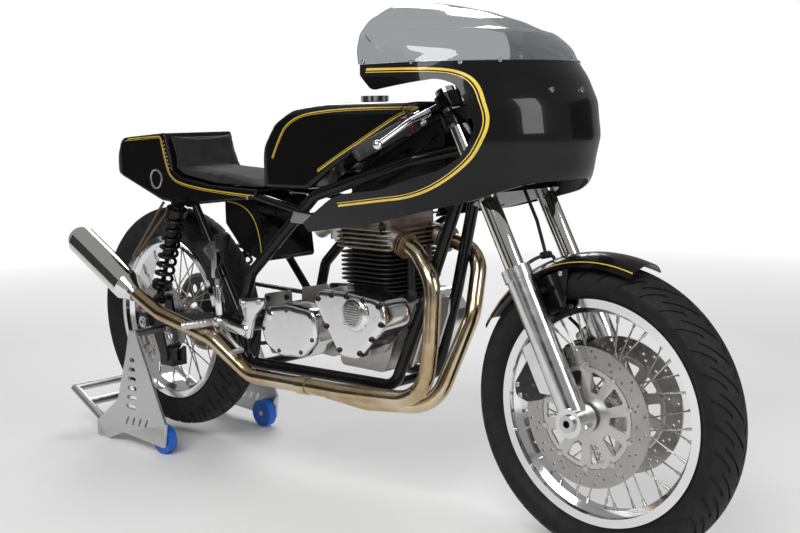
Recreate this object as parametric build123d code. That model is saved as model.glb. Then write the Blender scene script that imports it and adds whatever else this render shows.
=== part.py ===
from build123d import *
from math import ceil, copysign, cos, pi, radians, sin
import os

# Cafe racer motorcycle on its rear paddock stand, in millimetres.
# +X is forward, +Y is the rider's left, +Z is up, the floor is z = 0 and the centre plane is y = 0.
# Stations along X are measured from the middle of the wheelbase.

# Wheels
WHEELBASE = 1500.0
FRONT_AXLE_Z = 317.0
STAND_LIFT = 26.0
FRONT_TYRE_R = 317.0
FRONT_TYRE_W = 112.0
REAR_TYRE_R = 328.4
REAR_TYRE_W = 140.0
RIM_SEAT_R = 228.6
RIM_FLANGE_R = 243.0
RIM_WELL_R = 212.0
RIM_WALL = 4.0
FRONT_RIM_W = 68.0
REAR_RIM_W = 92.0
SPOKES = 36
SPOKE_R = 1.9
NIPPLE_R = 3.4
SEAT_GAP = 0.3
RUN_GAP = 0.05
FRONT_AXLE_R = 12.5
FRONT_AXLE_BORE_R = 8.0
REAR_AXLE_R = 10.0
REAR_AXLE_BORE_R = 5.0

# Brakes and final drive
FRONT_DISC_R = 150.0
FRONT_DISC_Y = 65.0
DISC_T = 5.0
DISC_BAND = 34.0
REAR_DISC_R = 112.0
REAR_DISC_Y = -62.0
SPROCKET_TEETH = 45
CHAIN_PITCH = 15.875
CHAIN_Y = 84.0
DISC_SLOT = 5.2

# Fork and steering
RAKE = 27.0
LEG_Y = 103.0
STEM_SETBACK = 50.0
STANCHION_R = 21.5
SLIDER_R = 28.5
SLIDER_TOP = 340.0
LEG_TOP = 762.0
LOWER_YOKE = 515.0
UPPER_YOKE = 690.0
YOKE_T = 30.0
STEM_R = 13.0
STEM_BORE_R = 8.0
HEAD_R = 27.0
CLIP_ON = 731.0
BAR_R = 11.1
GRIP_R = 16.5
BAR_END = (349.0, 320.0, 866.0)
STEER_LIMIT = 20.0

# Frame
TUBE_R = 14.3
STRUT_R = 11.0
PIVOT = (-290.0, 408.0)
PIVOT_R = 12.0
SWINGARM_Y = 108.0
SWINGARM_W = 26.0
SWINGARM_H = 44.0
SHOCK_Y = 141.0
SHOCK_TOP = (-540.0, 712.0)
SHOCK_FOOT = (-652.0, 432.0)

# Engine
CRANK = (171.0, 440.0)
MAINSHAFT = (-72.0, 411.0)
CASE_W = 176.0
COVER_Y = 180.0
BARREL_X = 135.0
BARREL_BASE = 507.0
BARREL_TOP = 668.0
BARREL_LENGTH = 176.0
BARREL_WIDTH = 206.0
FIN_PITCH = 13.4
FIN_T = 3.2
HEAD_TOP = 724.0
PORT_Y = 74.0
PIPE_R = 20.0
PIPE_T = 1.6
SILENCER_R = 43.0
SILENCER_Y = -205.0

# Tank, seat and fairing
TANK_HALF = 140.0
SEAT_HALF = 120.0
SHELL_T = 3.0
SCREEN_T = 3.0
SCREEN_BASE_Z = 1052.0

# Paddock stand
STAND_PLATE_Y = 208.0
STAND_PLATE_T = 8.0
ROLLER_R = 41.0
ROLLER_W = 26.0
ROLLER_X = -596.0

FRONT_AXLE_X = WHEELBASE / 2
REAR_AXLE_X = -WHEELBASE / 2
REAR_AXLE_Z = REAR_TYRE_R + STAND_LIFT
X_MID = (FRONT_AXLE_X + FRONT_TYRE_R + REAR_AXLE_X - REAR_TYRE_R) / 2
RAKE_SIN = sin(radians(RAKE))
RAKE_COS = cos(radians(RAKE))
FORWARD = Vector(RAKE_COS, 0, RAKE_SIN)
UP_LEG = Vector(-RAKE_SIN, 0, RAKE_COS)

os.makedirs("parts", exist_ok=True)


def save(name, *pieces):
    """Writes one node, with the origin on the floor under the middle of the machine's length."""
    solids = [s for piece in pieces for s in piece.solids()]
    shape = solids[0] if len(solids) == 1 else Compound(children=solids)
    export_step(shape.moved(Location((-X_MID, 0, 0))), f"parts/{name}.step")


def fuse(pieces):
    """Joins touching pieces into one."""
    solids = [s for piece in pieces for s in piece.solids()]
    return Part() + solids


def rod(a, b, r, r2=None):
    """Solid round rod or cone from a to b."""
    a = Vector(*a)
    d = Vector(*b) - a
    plane = Plane(origin=a, z_dir=d)
    if r2 is None:
        return plane * Cylinder(r, d.length, align=(Align.CENTER, Align.CENTER, Align.MIN))
    return plane * Cone(r, r2, d.length, align=(Align.CENTER, Align.CENTER, Align.MIN))


def tube(points, r, bend, inner=0):
    """Round tube along points with bends of one radius; inner is its bore."""
    path = FilletPolyline(*points, radius=bend)
    start = Plane(origin=path @ 0, z_dir=path % 0)
    body = sweep(start * Circle(r), path=path)
    if inner:
        body = body - sweep(start * Circle(inner), path=path)
    return body


def across(outline, y0, y1):
    """Extrudes an outline drawn in (x, z) from y0 to y1."""
    face = Plane(origin=(0, y0, 0), x_dir=(1, 0, 0), z_dir=(0, -1, 0)) * outline
    return extrude(face, amount=-(y1 - y0))


def rounded(points, r):
    """Closed outline of straight runs with rounded corners."""
    return make_face(FilletPolyline(*points, radius=r, close=True))


def spun(points, y=0.0, x=0.0, z=0.0):
    """Turns a closed profile of (radius, y) points about an axle along Y."""
    pts = [(px, py, 0) for px, py in points]
    body = revolve(make_face(Polyline(*pts, close=True)), Axis.Y)
    return body.moved(Location((x, y, z)))


def mirror_y(shape):
    return mirror(shape, about=Plane.XZ)


def at_leg(t, forward=0.0, y=0.0):
    """Point t up the fork legs' line from the axle, set forward square to it."""
    p = Vector(FRONT_AXLE_X, y, FRONT_AXLE_Z) + UP_LEG * t + FORWARD * forward
    return (p.X, y, p.Z)


def tyre(radius, width, rim_width):
    """Tyre on its rim: beads, bulged walls and a round crown."""
    bead_y = rim_width / 2 - RIM_WALL - SEAT_GAP
    bead_r = RIM_SEAT_R + SEAT_GAP
    half = width / 2
    wide_r = bead_r + 0.50 * (radius - bead_r)
    shoulder_r = radius - 0.36 * (radius - bead_r)
    lip_r = RIM_FLANGE_R + 1.5
    right = Line((bead_r, bead_y), (lip_r, bead_y))
    wall = ThreePointArc((lip_r, bead_y), (wide_r - 4, half - 4), (shoulder_r, half))
    crown = ThreePointArc((shoulder_r, half), (radius, 0), (shoulder_r, -half))
    wall2 = ThreePointArc((shoulder_r, -half), (wide_r - 4, 4 - half), (lip_r, -bead_y))
    left = Line((lip_r, -bead_y), (bead_r, -bead_y))
    base = Line((bead_r, -bead_y), (bead_r, bead_y))
    return revolve(make_face([right, wall, crown, wall2, left, base]), Axis.Y)


def rim(width):
    """Flanged alloy rim with its drop well."""
    h = width / 2
    half = [(RIM_FLANGE_R, h), (RIM_FLANGE_R, h - RIM_WALL), (RIM_SEAT_R, h - RIM_WALL),
            (RIM_SEAT_R, h - 17), (RIM_WELL_R + RIM_WALL, h - 24)]
    inner = [(RIM_WELL_R, h - 24), (RIM_SEAT_R - RIM_WALL, h - 14), (RIM_SEAT_R - RIM_WALL, h)]
    outer = half + [(r, -y) for r, y in reversed(half)]
    under = [(r, -y) for r, y in reversed(inner)] + inner
    return spun(outer + under)


def spokes(flange_r, flange_y, well_y, lean):
    """Laced spokes with nipples, from both hub flanges to the rim well."""
    rods = []
    for i in range(SPOKES):
        side = 1 if i % 2 else -1
        turn = lean if (i // 2) % 2 else -lean
        a = 2 * pi * i / SPOKES
        b = a + turn
        start = (flange_r * cos(b), side * flange_y, flange_r * sin(b))
        end_r = RIM_WELL_R + 1.0
        end = (end_r * cos(a), side * well_y, end_r * sin(a))
        mid = [e + 0.09 * (s - e) for s, e in zip(start, end)]
        rods.append(rod(start, end, SPOKE_R))
        rods.append(rod(mid, end, NIPPLE_R))
    return rods


def wire_hub(barrel, flange_r, flange_y, well_y, lean, bore_r):
    """Turned hub with laced spokes, bored for its axle."""
    body = fuse([spun(barrel)] + spokes(flange_r, flange_y, well_y, lean))
    well = spun([(RIM_WELL_R, -60), (RIM_WELL_R + 12, -60), (RIM_WELL_R + 12, 60), (RIM_WELL_R, 60)])
    bore = Rot(90, 0, 0) * Cylinder(bore_r, 400)
    return body - well - bore


def disc_ring(r_out, r_in, t, holes, hole_r, y):
    """Drilled brake disc band, its axle along Y."""
    ring = Cylinder(r_out, t) - Cylinder(r_in, t)
    for row, share in enumerate((0.25, 0.5, 0.75)):
        r = r_in + (r_out - r_in) * share
        ring = ring - PolarLocations(r, holes, start_angle=row * 120 / holes) * Cylinder(hole_r, t)
    return (Rot(90, 0, 0) * ring).moved(Location((0, y, 0)))


front_at = Location((FRONT_AXLE_X, 0, FRONT_AXLE_Z))
rear_at = Location((REAR_AXLE_X, 0, REAR_AXLE_Z))

# Front wheel
HUB_HALF = 56.0
DISC_SEAT_Y = 59.0
FRONT_FLANGE_R = 46.0
front_barrel = [(10, -HUB_HALF), (34, -HUB_HALF), (34, -44), (30, -40), (FRONT_FLANGE_R + 5, -36),
                (FRONT_FLANGE_R + 5, -30), (28, -24), (24, 0), (28, 24), (FRONT_FLANGE_R + 5, 30),
                (FRONT_FLANGE_R + 5, 36), (30, 40), (34, 44), (34, HUB_HALF), (10, HUB_HALF)]
save("front_tyre", tyre(FRONT_TYRE_R, FRONT_TYRE_W, FRONT_RIM_W).moved(front_at))
save("front_rim", rim(FRONT_RIM_W).moved(front_at))
front_hub = wire_hub(front_barrel, FRONT_FLANGE_R, 33, 6, 0.75, FRONT_AXLE_R + RUN_GAP)
save("front_hub", front_hub.moved(front_at))


def front_disc(side):
    """Floating disc: drilled band, buttons and the carrier that bolts to the hub."""
    y = side * FRONT_DISC_Y
    band = disc_ring(FRONT_DISC_R, FRONT_DISC_R - DISC_BAND, DISC_T, 20, 3.5, y)
    hub_face = side * HUB_HALF
    carrier = Cylinder(FRONT_DISC_R - DISC_BAND + 0.0, DISC_T) - Cylinder(26, DISC_T)
    carrier = carrier - PolarLocations(76, 10) * Cylinder(15, DISC_T)
    carrier = (Rot(90, 0, 0) * carrier).moved(Location((0, y, 0)))
    seat = Rot(90, 0, 0) * (Cylinder(40, abs(y) - DISC_T / 2 - HUB_HALF) - Cylinder(26, 40))
    seat = seat.moved(Location((0, side * (HUB_HALF + abs(y) - DISC_T / 2) / 2, 0)))
    button = Cylinder(7, DISC_T + 3)
    ring = PolarLocations(FRONT_DISC_R - DISC_BAND, 10, start_angle=18) * button
    buttons = [(Rot(90, 0, 0) * b).moved(Location((0, y, 0))) for b in ring]
    return fuse([band, carrier, seat] + buttons)


save("front_discs", front_disc(1).moved(front_at), front_disc(-1).moved(front_at))

# Rear wheel
REAR_HUB_HALF = 50.0
rear_barrel = [(8, -REAR_HUB_HALF), (36, -REAR_HUB_HALF), (36, -42), (52, -38), (52, -31), (30, -24),
               (30, 24), (52, 31), (52, 38), (36, 42), (36, REAR_HUB_HALF), (8, REAR_HUB_HALF)]
save("rear_tyre", tyre(REAR_TYRE_R, REAR_TYRE_W, REAR_RIM_W).moved(rear_at))
save("rear_rim", rim(REAR_RIM_W).moved(rear_at))
rear_hub = wire_hub(rear_barrel, 47, 34, 12, 0.7, REAR_AXLE_R + RUN_GAP)
save("rear_hub", rear_hub.moved(rear_at))
rear_disc = disc_ring(REAR_DISC_R, REAR_DISC_R - 30, DISC_T, 16, 3.5, REAR_DISC_Y)
rear_spider = Cylinder(REAR_DISC_R - 30, DISC_T) - Cylinder(20, DISC_T)
rear_spider = rear_spider - PolarLocations(54, 6) * Cylinder(16, DISC_T)
rear_spider = (Rot(90, 0, 0) * rear_spider).moved(Location((0, REAR_DISC_Y, 0)))
rear_seat_l = -REAR_DISC_Y - DISC_T / 2 - REAR_HUB_HALF
rear_seat = Rot(90, 0, 0) * (Cylinder(32, rear_seat_l) - Cylinder(20, rear_seat_l))
rear_seat = rear_seat.moved(Location((0, -REAR_HUB_HALF - rear_seat_l / 2, 0)))
save("rear_disc", fuse([rear_disc, rear_spider, rear_seat]).moved(rear_at))

SPROCKET_PITCH_R = CHAIN_PITCH / 2 / sin(pi / SPROCKET_TEETH)
CHAIN_ROLLER_R = 5.1
SPROCKET_R = SPROCKET_PITCH_R - CHAIN_ROLLER_R - 0.5
sprocket = Cylinder(SPROCKET_R, 5.0) - Cylinder(20, 5.0)
sprocket = sprocket - PolarLocations(78, 12) * Cylinder(13, 5.0)
sprocket = (Rot(90, 0, 0) * sprocket).moved(Location((0, CHAIN_Y, 0)))
sprocket_seat_l = CHAIN_Y - 2.5 - REAR_HUB_HALF
sprocket_seat = Rot(90, 0, 0) * (Cylinder(32, sprocket_seat_l) - Cylinder(20, sprocket_seat_l))
sprocket_seat = sprocket_seat.moved(Location((0, REAR_HUB_HALF + sprocket_seat_l / 2, 0)))
save("rear_sprocket", fuse([sprocket, sprocket_seat]).moved(rear_at))

# Drive chain on the left side, from the gearbox sprocket to the rear sprocket
SMALL_R = 44.0


def chain_loop(grow):
    """Face enclosed by the chain's loop, grown outward from its pitch line."""
    big = Pos(REAR_AXLE_X, REAR_AXLE_Z) * Circle(SPROCKET_PITCH_R + grow)
    small = Pos(MAINSHAFT[0], MAINSHAFT[1]) * Circle(SMALL_R + grow)
    return make_hull(big.edges() + small.edges())


chain_half = across(chain_loop(6.5), 0, 2.0) - across(chain_loop(-6.5), 0, 2.0)
chain_core = across(chain_loop(CHAIN_ROLLER_R), 0, 3.4) - across(chain_loop(-CHAIN_ROLLER_R), 0, 3.4)
chain = [chain_half.moved(Location((0, CHAIN_Y + s * 5.6 - 1.0, 0))) for s in (1, -1)]
chain = fuse(chain + [across(chain_loop(4.0), CHAIN_Y - 5, CHAIN_Y + 5) - across(chain_loop(-4.0), CHAIN_Y - 5, CHAIN_Y + 5)])
save("drive_chain", chain)

# Front fork
def fork_leg_slider(side):
    y = side * LEG_Y
    body = rod(at_leg(-22, y=y), at_leg(SLIDER_TOP, y=y), SLIDER_R)
    collar = rod(at_leg(SLIDER_TOP - 26, y=y), at_leg(SLIDER_TOP, y=y), SLIDER_R + 3.5)
    foot = rod((FRONT_AXLE_X, y - SLIDER_R, FRONT_AXLE_Z), (FRONT_AXLE_X, y + SLIDER_R, FRONT_AXLE_Z), 31)
    lug = [at_leg(t, f) for t, f in ((60, -20), (190, -20), (180, -62), (80, -62))]
    lug = across(rounded([(p[0], p[2]) for p in lug], 8), min(y, y - side * 12), max(y, y - side * 12))
    body = fuse([body, collar, foot, lug])
    bore = rod(at_leg(30, y=y), at_leg(SLIDER_TOP + 1, y=y), STANCHION_R + RUN_GAP)
    axle = rod((FRONT_AXLE_X, -200, FRONT_AXLE_Z), (FRONT_AXLE_X, 200, FRONT_AXLE_Z), FRONT_AXLE_R + RUN_GAP)
    return body - bore - axle


sliders = [fork_leg_slider(-1), fork_leg_slider(1)]
save("fork_sliders", *sliders)
save("fork_stanchions", *[rod(at_leg(40, y=s * LEG_Y), at_leg(LEG_TOP, y=s * LEG_Y), STANCHION_R) for s in (-1, 1)])
AXLE_HALF = 138.0
axle = rod((FRONT_AXLE_X, -AXLE_HALF, FRONT_AXLE_Z), (FRONT_AXLE_X, AXLE_HALF, FRONT_AXLE_Z), FRONT_AXLE_R)
for s in (-1, 1):
    axle = axle + rod((FRONT_AXLE_X, s * (LEG_Y + SLIDER_R + SEAT_GAP), FRONT_AXLE_Z), (FRONT_AXLE_X, s * AXLE_HALF, FRONT_AXLE_Z), 18)
    axle = axle + rod((FRONT_AXLE_X, s * (HUB_HALF + SEAT_GAP), FRONT_AXLE_Z), (FRONT_AXLE_X, s * (LEG_Y - SLIDER_R - SEAT_GAP), FRONT_AXLE_Z), 17)
axle_bore = rod((FRONT_AXLE_X, -AXLE_HALF - 1, FRONT_AXLE_Z), (FRONT_AXLE_X, AXLE_HALF + 1, FRONT_AXLE_Z), FRONT_AXLE_BORE_R)
save("front_axle", axle - axle_bore)


def yoke(t):
    """Fork yoke: two leg clamps and a stem boss in one plate square to the legs."""
    plane = Plane(origin=at_leg(t), x_dir=(0, 1, 0), z_dir=UP_LEG)
    clamps = [(Pos(s * LEG_Y, 0) * Circle(33)).edges() for s in (-1, 1)]
    boss = (Pos(0, STEM_SETBACK) * Circle(32)).edges()
    body = extrude(plane * make_hull(clamps[0] + clamps[1] + boss), amount=YOKE_T / 2, both=True)
    for s in (-1, 1):
        body = body - rod(at_leg(t - 40, y=s * LEG_Y), at_leg(t + 40, y=s * LEG_Y), STANCHION_R + RUN_GAP)
    return body


lower = yoke(LOWER_YOKE)
upper = yoke(UPPER_YOKE)
stem = rod(at_leg(LOWER_YOKE - YOKE_T / 2, -STEM_SETBACK), at_leg(UPPER_YOKE + YOKE_T / 2 + 12, -STEM_SETBACK), STEM_R)
stem_bore = rod(at_leg(LOWER_YOKE - 60, -STEM_SETBACK), at_leg(UPPER_YOKE + 60, -STEM_SETBACK), STEM_BORE_R)
save("fork_yokes", fuse([lower, upper, stem]) - stem_bore)


def clip_on_line(side):
    a = Vector(*at_leg(CLIP_ON, y=side * LEG_Y))
    b = Vector(BAR_END[0], side * BAR_END[1], BAR_END[2])
    return a, (b - a).normalized(), (b - a).length


def along(line, s):
    p = line[0] + line[1] * s
    return (p.X, p.Y, p.Z)


clips = []
grips = []
levers = []
for side in (-1, 1):
    line = clip_on_line(side)
    end = line[2]
    clamp = rod(at_leg(CLIP_ON - 17, y=side * LEG_Y), at_leg(CLIP_ON + 17, y=side * LEG_Y), 29)
    leg_bore = rod(at_leg(CLIP_ON - 60, y=side * LEG_Y), at_leg(CLIP_ON + 60, y=side * LEG_Y), STANCHION_R + RUN_GAP)
    bar = rod(along(line, STANCHION_R + 2), along(line, end), BAR_R)
    bar_bore = rod(along(line, 0), along(line, end + 40), BAR_R + RUN_GAP)
    clips.append(fuse([clamp, bar]) - leg_bore)
    grip = rod(along(line, end - 128), along(line, end + 1), GRIP_R)
    flange = rod(along(line, end - 131), along(line, end - 125), GRIP_R + 5)
    grips.append(fuse([grip, flange]) - bar_bore)
    perch = rod(along(line, end - 172), along(line, end - 146), 17)
    root = Vector(*along(line, end - 160)) + FORWARD * 34
    tip = Vector(*along(line, end + 6)) + FORWARD * 70 + UP_LEG * -12
    mid = Vector(*along(line, end - 90)) + FORWARD * 62
    arm = rod(root, mid, 8, 6)
    arm2 = rod(mid, tip, 6, 5)
    link = rod(Vector(*along(line, end - 160)) + FORWARD * 14, root, 9)
    ball = Pos(*tip) * Sphere(10)
    elbow = Pos(*mid) * Sphere(6)
    levers.append(fuse([perch, link, Pos(*root) * Sphere(9), arm, elbow, arm2, ball]) - bar_bore)
save("clip_ons", *clips)
save("grips", *grips)
save("hand_levers", *levers)

# Instruments over the upper yoke
dials = []
for side in (-1, 1):
    base = Vector(*at_leg(UPPER_YOKE + YOKE_T / 2 + 38, 26, side * 42))
    top = base + Vector(-0.30, 0, 0.95).normalized() * 52
    dials.append(rod(base, top, 36))
dial_plate = rod(at_leg(UPPER_YOKE + YOKE_T / 2, 18), at_leg(UPPER_YOKE + YOKE_T / 2 + 50, 18), 12)
dial_bar = rod(at_leg(UPPER_YOKE + YOKE_T / 2 + 44, 20, -42), at_leg(UPPER_YOKE + YOKE_T / 2 + 44, 20, 42), 8)
save("instruments", fuse(dials + [dial_plate, dial_bar]))

# Front mudguard
GUARD_R = 334.0
GUARD_T = 2.5
GUARD_HALF = 61.0


def guard_shell(r, t, half, drop):
    """Crowned band about the front axle."""
    outer = ThreePointArc((r - drop, half), (r, 0), (r - drop, -half))
    inner = ThreePointArc((r - drop - t * 0.6, -half + t), (r - t, 0), (r - drop - t * 0.6, half - t))
    face = make_face([outer, Line(outer @ 1, inner @ 0), inner, Line(inner @ 1, outer @ 0)])
    return face


def guard():
    face = guard_shell(GUARD_R + 4, GUARD_T, GUARD_HALF, 26)
    band = revolve(face, Axis.Y, revolution_arc=78).moved(Location((0, 0, 0), (0, 1, 0), -150))
    return band


guard_band = guard().moved(front_at)
guard_bosses = [rod((FRONT_AXLE_X - (GUARD_R - 28) * RAKE_SIN, s * (LEG_Y - SLIDER_R - SEAT_GAP), FRONT_AXLE_Z + (GUARD_R - 28) * RAKE_COS),
                    (FRONT_AXLE_X - (GUARD_R - 28) * RAKE_SIN, s * (GUARD_HALF - 4), FRONT_AXLE_Z + (GUARD_R - 28) * RAKE_COS), 7) for s in (-1, 1)]
save("front_mudguard", fuse([guard_band] + guard_bosses))

# Front calipers
CALIPER_ANGLE = 164.0
calipers = []
for s in (-1, 1):
    slot_w = DISC_T + 2 * DISC_SLOT
    block = Box(64, 66, 104) - Box(64, slot_w, 130)
    bridge = Pos(-44, 0, 0) * Box(24, 66, 104)
    body = fuse(list(block.solids()) + [bridge])
    place = Location((FRONT_AXLE_X, s * FRONT_DISC_Y, FRONT_AXLE_Z)) * Location((0, 0, 0), (0, 1, 0), -(180 - CALIPER_ANGLE) * -1)
    calipers.append(body.moved(Location((-118, 0, 0))).moved(place) - sliders)
save("front_calipers", *calipers)

# Main frame
LOOP_LEFT = [(402.0, 26.0, 868.0), (300.0, 96.0, 842.0), (0.0, 124.0, 752.0), (-245.0, 132.0, 540.0),
             (-290.0, 137.0, 408.0), (-284.0, 135.0, 303.0), (212.0, 76.0, 300.0), (300.0, 54.0, 525.0),
             (398.0, 22.0, 812.0)]
frame_sides = []
for s in (-1, 1):
    frame_sides.append(tube([(x, s * y, z) for x, y, z in LOOP_LEFT], TUBE_R, 45))
head_tube = rod(at_leg(LOWER_YOKE + YOKE_T / 2 + 4, -STEM_SETBACK), at_leg(UPPER_YOKE - YOKE_T / 2 - 4, -STEM_SETBACK), HEAD_R)
head_bore = rod(at_leg(LOWER_YOKE, -STEM_SETBACK), at_leg(UPPER_YOKE, -STEM_SETBACK), STEM_R + RUN_GAP)
cross = []
for x, y, z in ((-70.0, 124.0, 692.0), (-225.0, 122.0, 303.0), (190.0, 78.0, 300.0)):
    cross.append(rod((x, -y, z), (x, y, z), STRUT_R))
PIVOT_HALF = 155.0
pivot_tube = rod((PIVOT[0], -PIVOT_HALF, PIVOT[1]), (PIVOT[0], PIVOT_HALF, PIVOT[1]), 21)
SEAT_RAIL = [(-60.0, 124.0, 712.0), (-250.0, 103.0, 740.5), (-420.0, 102.0, 746.5),
             (-540.0, 101.0, 760.0), (-720.0, 88.0, 768.0)]
rails = []
for s in (-1, 1):
    rails.append(tube([(x, s * y, z) for x, y, z in SEAT_RAIL], STRUT_R, 60))
    rails.append(rod((-550, s * 101, 760), (PIVOT[0] - 2, s * 134, PIVOT[1] + 14), STRUT_R))
    rails.append(rod((SHOCK_TOP[0], s * 92, SHOCK_TOP[1]), (SHOCK_TOP[0], s * (SHOCK_Y + 18), SHOCK_TOP[1]), 9))
rails.append(rod((-700, -88, 767), (-700, 88, 767), STRUT_R))
rails.append(rod((-340, -102, 743), (-340, 102, 743), STRUT_R))
for s in (-1, 1):
    gusset = [(-572, 762), (-512, 758), (-526, 698), (-554, 698)]
    rails.append(across(rounded(gusset, 5), *sorted((s * 97, s * 105))))
frame = fuse(frame_sides + [head_tube] + cross + [pivot_tube] + rails) - head_bore
save("main_frame", frame)

# Swingarm with its chain adjusters and the rear axle
arms = []
for s in (-1, 1):
    arm = across(rounded([(PIVOT[0] + 6, PIVOT[1] + 20), (PIVOT[0] + 6, PIVOT[1] - 20),
                          (REAR_AXLE_X - 44, REAR_AXLE_Z - 19), (REAR_AXLE_X - 44, REAR_AXLE_Z + 19)], 6),
                 s * SWINGARM_Y - SWINGARM_W / 2, s * SWINGARM_Y + SWINGARM_W / 2)
    lug_x, lug_z = SHOCK_FOOT
    lug = across(rounded([(lug_x - 22, lug_z - 76), (lug_x + 26, lug_z - 76), (lug_x + 13, lug_z + 12),
                          (lug_x - 13, lug_z + 12)], 6), s * SWINGARM_Y - 4, s * SWINGARM_Y + 4)
    pin = rod((lug_x, s * SWINGARM_Y, lug_z), (lug_x, s * (SHOCK_Y + 18), lug_z), 6)
    arms += [arm, lug, pin]
swing_cross = rod((-395, -SWINGARM_Y, 398), (-395, SWINGARM_Y, 398), 18)
sleeve = rod((PIVOT[0], -SWINGARM_Y - 13, PIVOT[1]), (PIVOT[0], SWINGARM_Y + 13, PIVOT[1]), 30)
axle_hole = rod((REAR_AXLE_X, -200, REAR_AXLE_Z), (REAR_AXLE_X, 200, REAR_AXLE_Z), REAR_AXLE_R + RUN_GAP)
swingarm = fuse(arms + [swing_cross, sleeve]) - axle_hole
swingarm = swingarm - rod((PIVOT[0], -200, PIVOT[1]), (PIVOT[0], 200, PIVOT[1]), 21 + SEAT_GAP)
save("swingarm", swingarm)
rear_axle = rod((REAR_AXLE_X, -140, REAR_AXLE_Z), (REAR_AXLE_X, 140, REAR_AXLE_Z), REAR_AXLE_R)
for s in (-1, 1):
    nut_in = SWINGARM_Y + SWINGARM_W / 2 + SEAT_GAP
    rear_axle = rear_axle + rod((REAR_AXLE_X, s * nut_in, REAR_AXLE_Z), (REAR_AXLE_X, s * (nut_in + 16), REAR_AXLE_Z), 17)
    rear_axle = rear_axle + rod((REAR_AXLE_X, s * (REAR_HUB_HALF + SEAT_GAP), REAR_AXLE_Z),
                                (REAR_AXLE_X, s * (SWINGARM_Y - SWINGARM_W / 2 - SEAT_GAP), REAR_AXLE_Z), 15)
rear_axle_bore = rod((REAR_AXLE_X, -141, REAR_AXLE_Z), (REAR_AXLE_X, 141, REAR_AXLE_Z), REAR_AXLE_BORE_R)
save("rear_axle", rear_axle - rear_axle_bore)

# Shock absorbers
shocks = []
for s in (-1, 1):
    top = Vector(SHOCK_TOP[0], s * SHOCK_Y, SHOCK_TOP[1])
    foot = Vector(SHOCK_FOOT[0], s * SHOCK_Y, SHOCK_FOOT[1])
    run = (foot - top).normalized()
    length = (foot - top).length

    def on(share, add=0.0):
        p = top + run * (length * share + add)
        return (p.X, p.Y, p.Z)

    eyes = [rod((p.X, p.Y - 12, p.Z), (p.X, p.Y + 12, p.Z), 15) for p in (top, foot)]
    pins = [rod((p.X, p.Y - 30, p.Z), (p.X, p.Y + 30, p.Z), r + SEAT_GAP) for p, r in ((top, 9), (foot, 6))]
    body = rod(on(0, 8), on(0.55), 17)
    stem_rod = rod(on(0.5), on(1, -6), 7)
    cap = rod(on(0, 16), on(0, 34), 29)
    seat = rod(on(1, -52), on(1, -40), 29)
    foot_cup = rod(on(1, -42), on(1, -10), 12)
    coil_l = (Vector(*on(1, -52)) - Vector(*on(0, 34))).length
    helix = Helix(pitch=coil_l / 8, height=coil_l, radius=24)
    coil = sweep(Plane(origin=helix @ 0, z_dir=helix % 0) * Circle(4.6), path=helix, is_frenet=True)
    spring = Plane(origin=on(0, 34), z_dir=run) * coil
    shocks.append(fuse(eyes + [body, stem_rod, cap, seat, foot_cup]) - pins)
    shocks[-1] = fuse([shocks[-1], spring])
save("shock_absorbers", *shocks)

# Engine: cases, covers, barrel and head
case = across(rounded([(40, 332), (190, 332), (212, 380), (238, 455), (232, BARREL_BASE), (52, BARREL_BASE), (30, 470)], 16),
              -CASE_W / 2, CASE_W / 2)
save("crankcase", case)
gearbox = across(rounded([(-160, 352), (20, 342), (26, 470), (-60, 482), (-168, 440)], 24), -76, 48)
out_boss = rod((MAINSHAFT[0], 48, MAINSHAFT[1]), (MAINSHAFT[0], CASE_W / 2 + 6, MAINSHAFT[1]), 18)
out_sprocket = rod((MAINSHAFT[0], CHAIN_Y - 2.5, MAINSHAFT[1]), (MAINSHAFT[0], CHAIN_Y + 2.5, MAINSHAFT[1]), SMALL_R - 6.5)
gear_neck = rod((MAINSHAFT[0], -CASE_W / 2, MAINSHAFT[1]), (MAINSHAFT[0], -75, MAINSHAFT[1]), 56)
save("gearbox", fuse([gearbox, gear_neck, out_boss, out_sprocket]))
timing = across(rounded([(44, 503), (60, 532), (160, 536), (272, 526), (284, 470), (190, 378), (130, 378)], 28),
                -COVER_Y, -CASE_W / 2)
points = rod((CRANK[0], -COVER_Y - 14, 491), (CRANK[0], -COVER_Y + 2, 491), 44, 48)
save("timing_cover", timing + points)
gear_cover = across(rounded([(-178, 412), (-150, 470), (-70, 482), (30, 474), (36, 400), (-20, 350), (-110, 344), (-160, 366)], 26),
                    -166, -CASE_W / 2 - SEAT_GAP)
save("gearbox_cover", gear_cover)
oval = (Pos(CRANK[0] - 6, CRANK[1] - 14) * Circle(84)).edges() + (Pos(MAINSHAFT[0], MAINSHAFT[1]) * Circle(91)).edges()
primary = across(make_hull(oval), CASE_W / 2 + 6, CASE_W / 2 + 76)
primary_neck = rod((CRANK[0], CASE_W / 2, CRANK[1]), (CRANK[0], CASE_W / 2 + 7, CRANK[1]), 56)
save("primary_cover", fuse([primary, primary_neck]))

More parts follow.
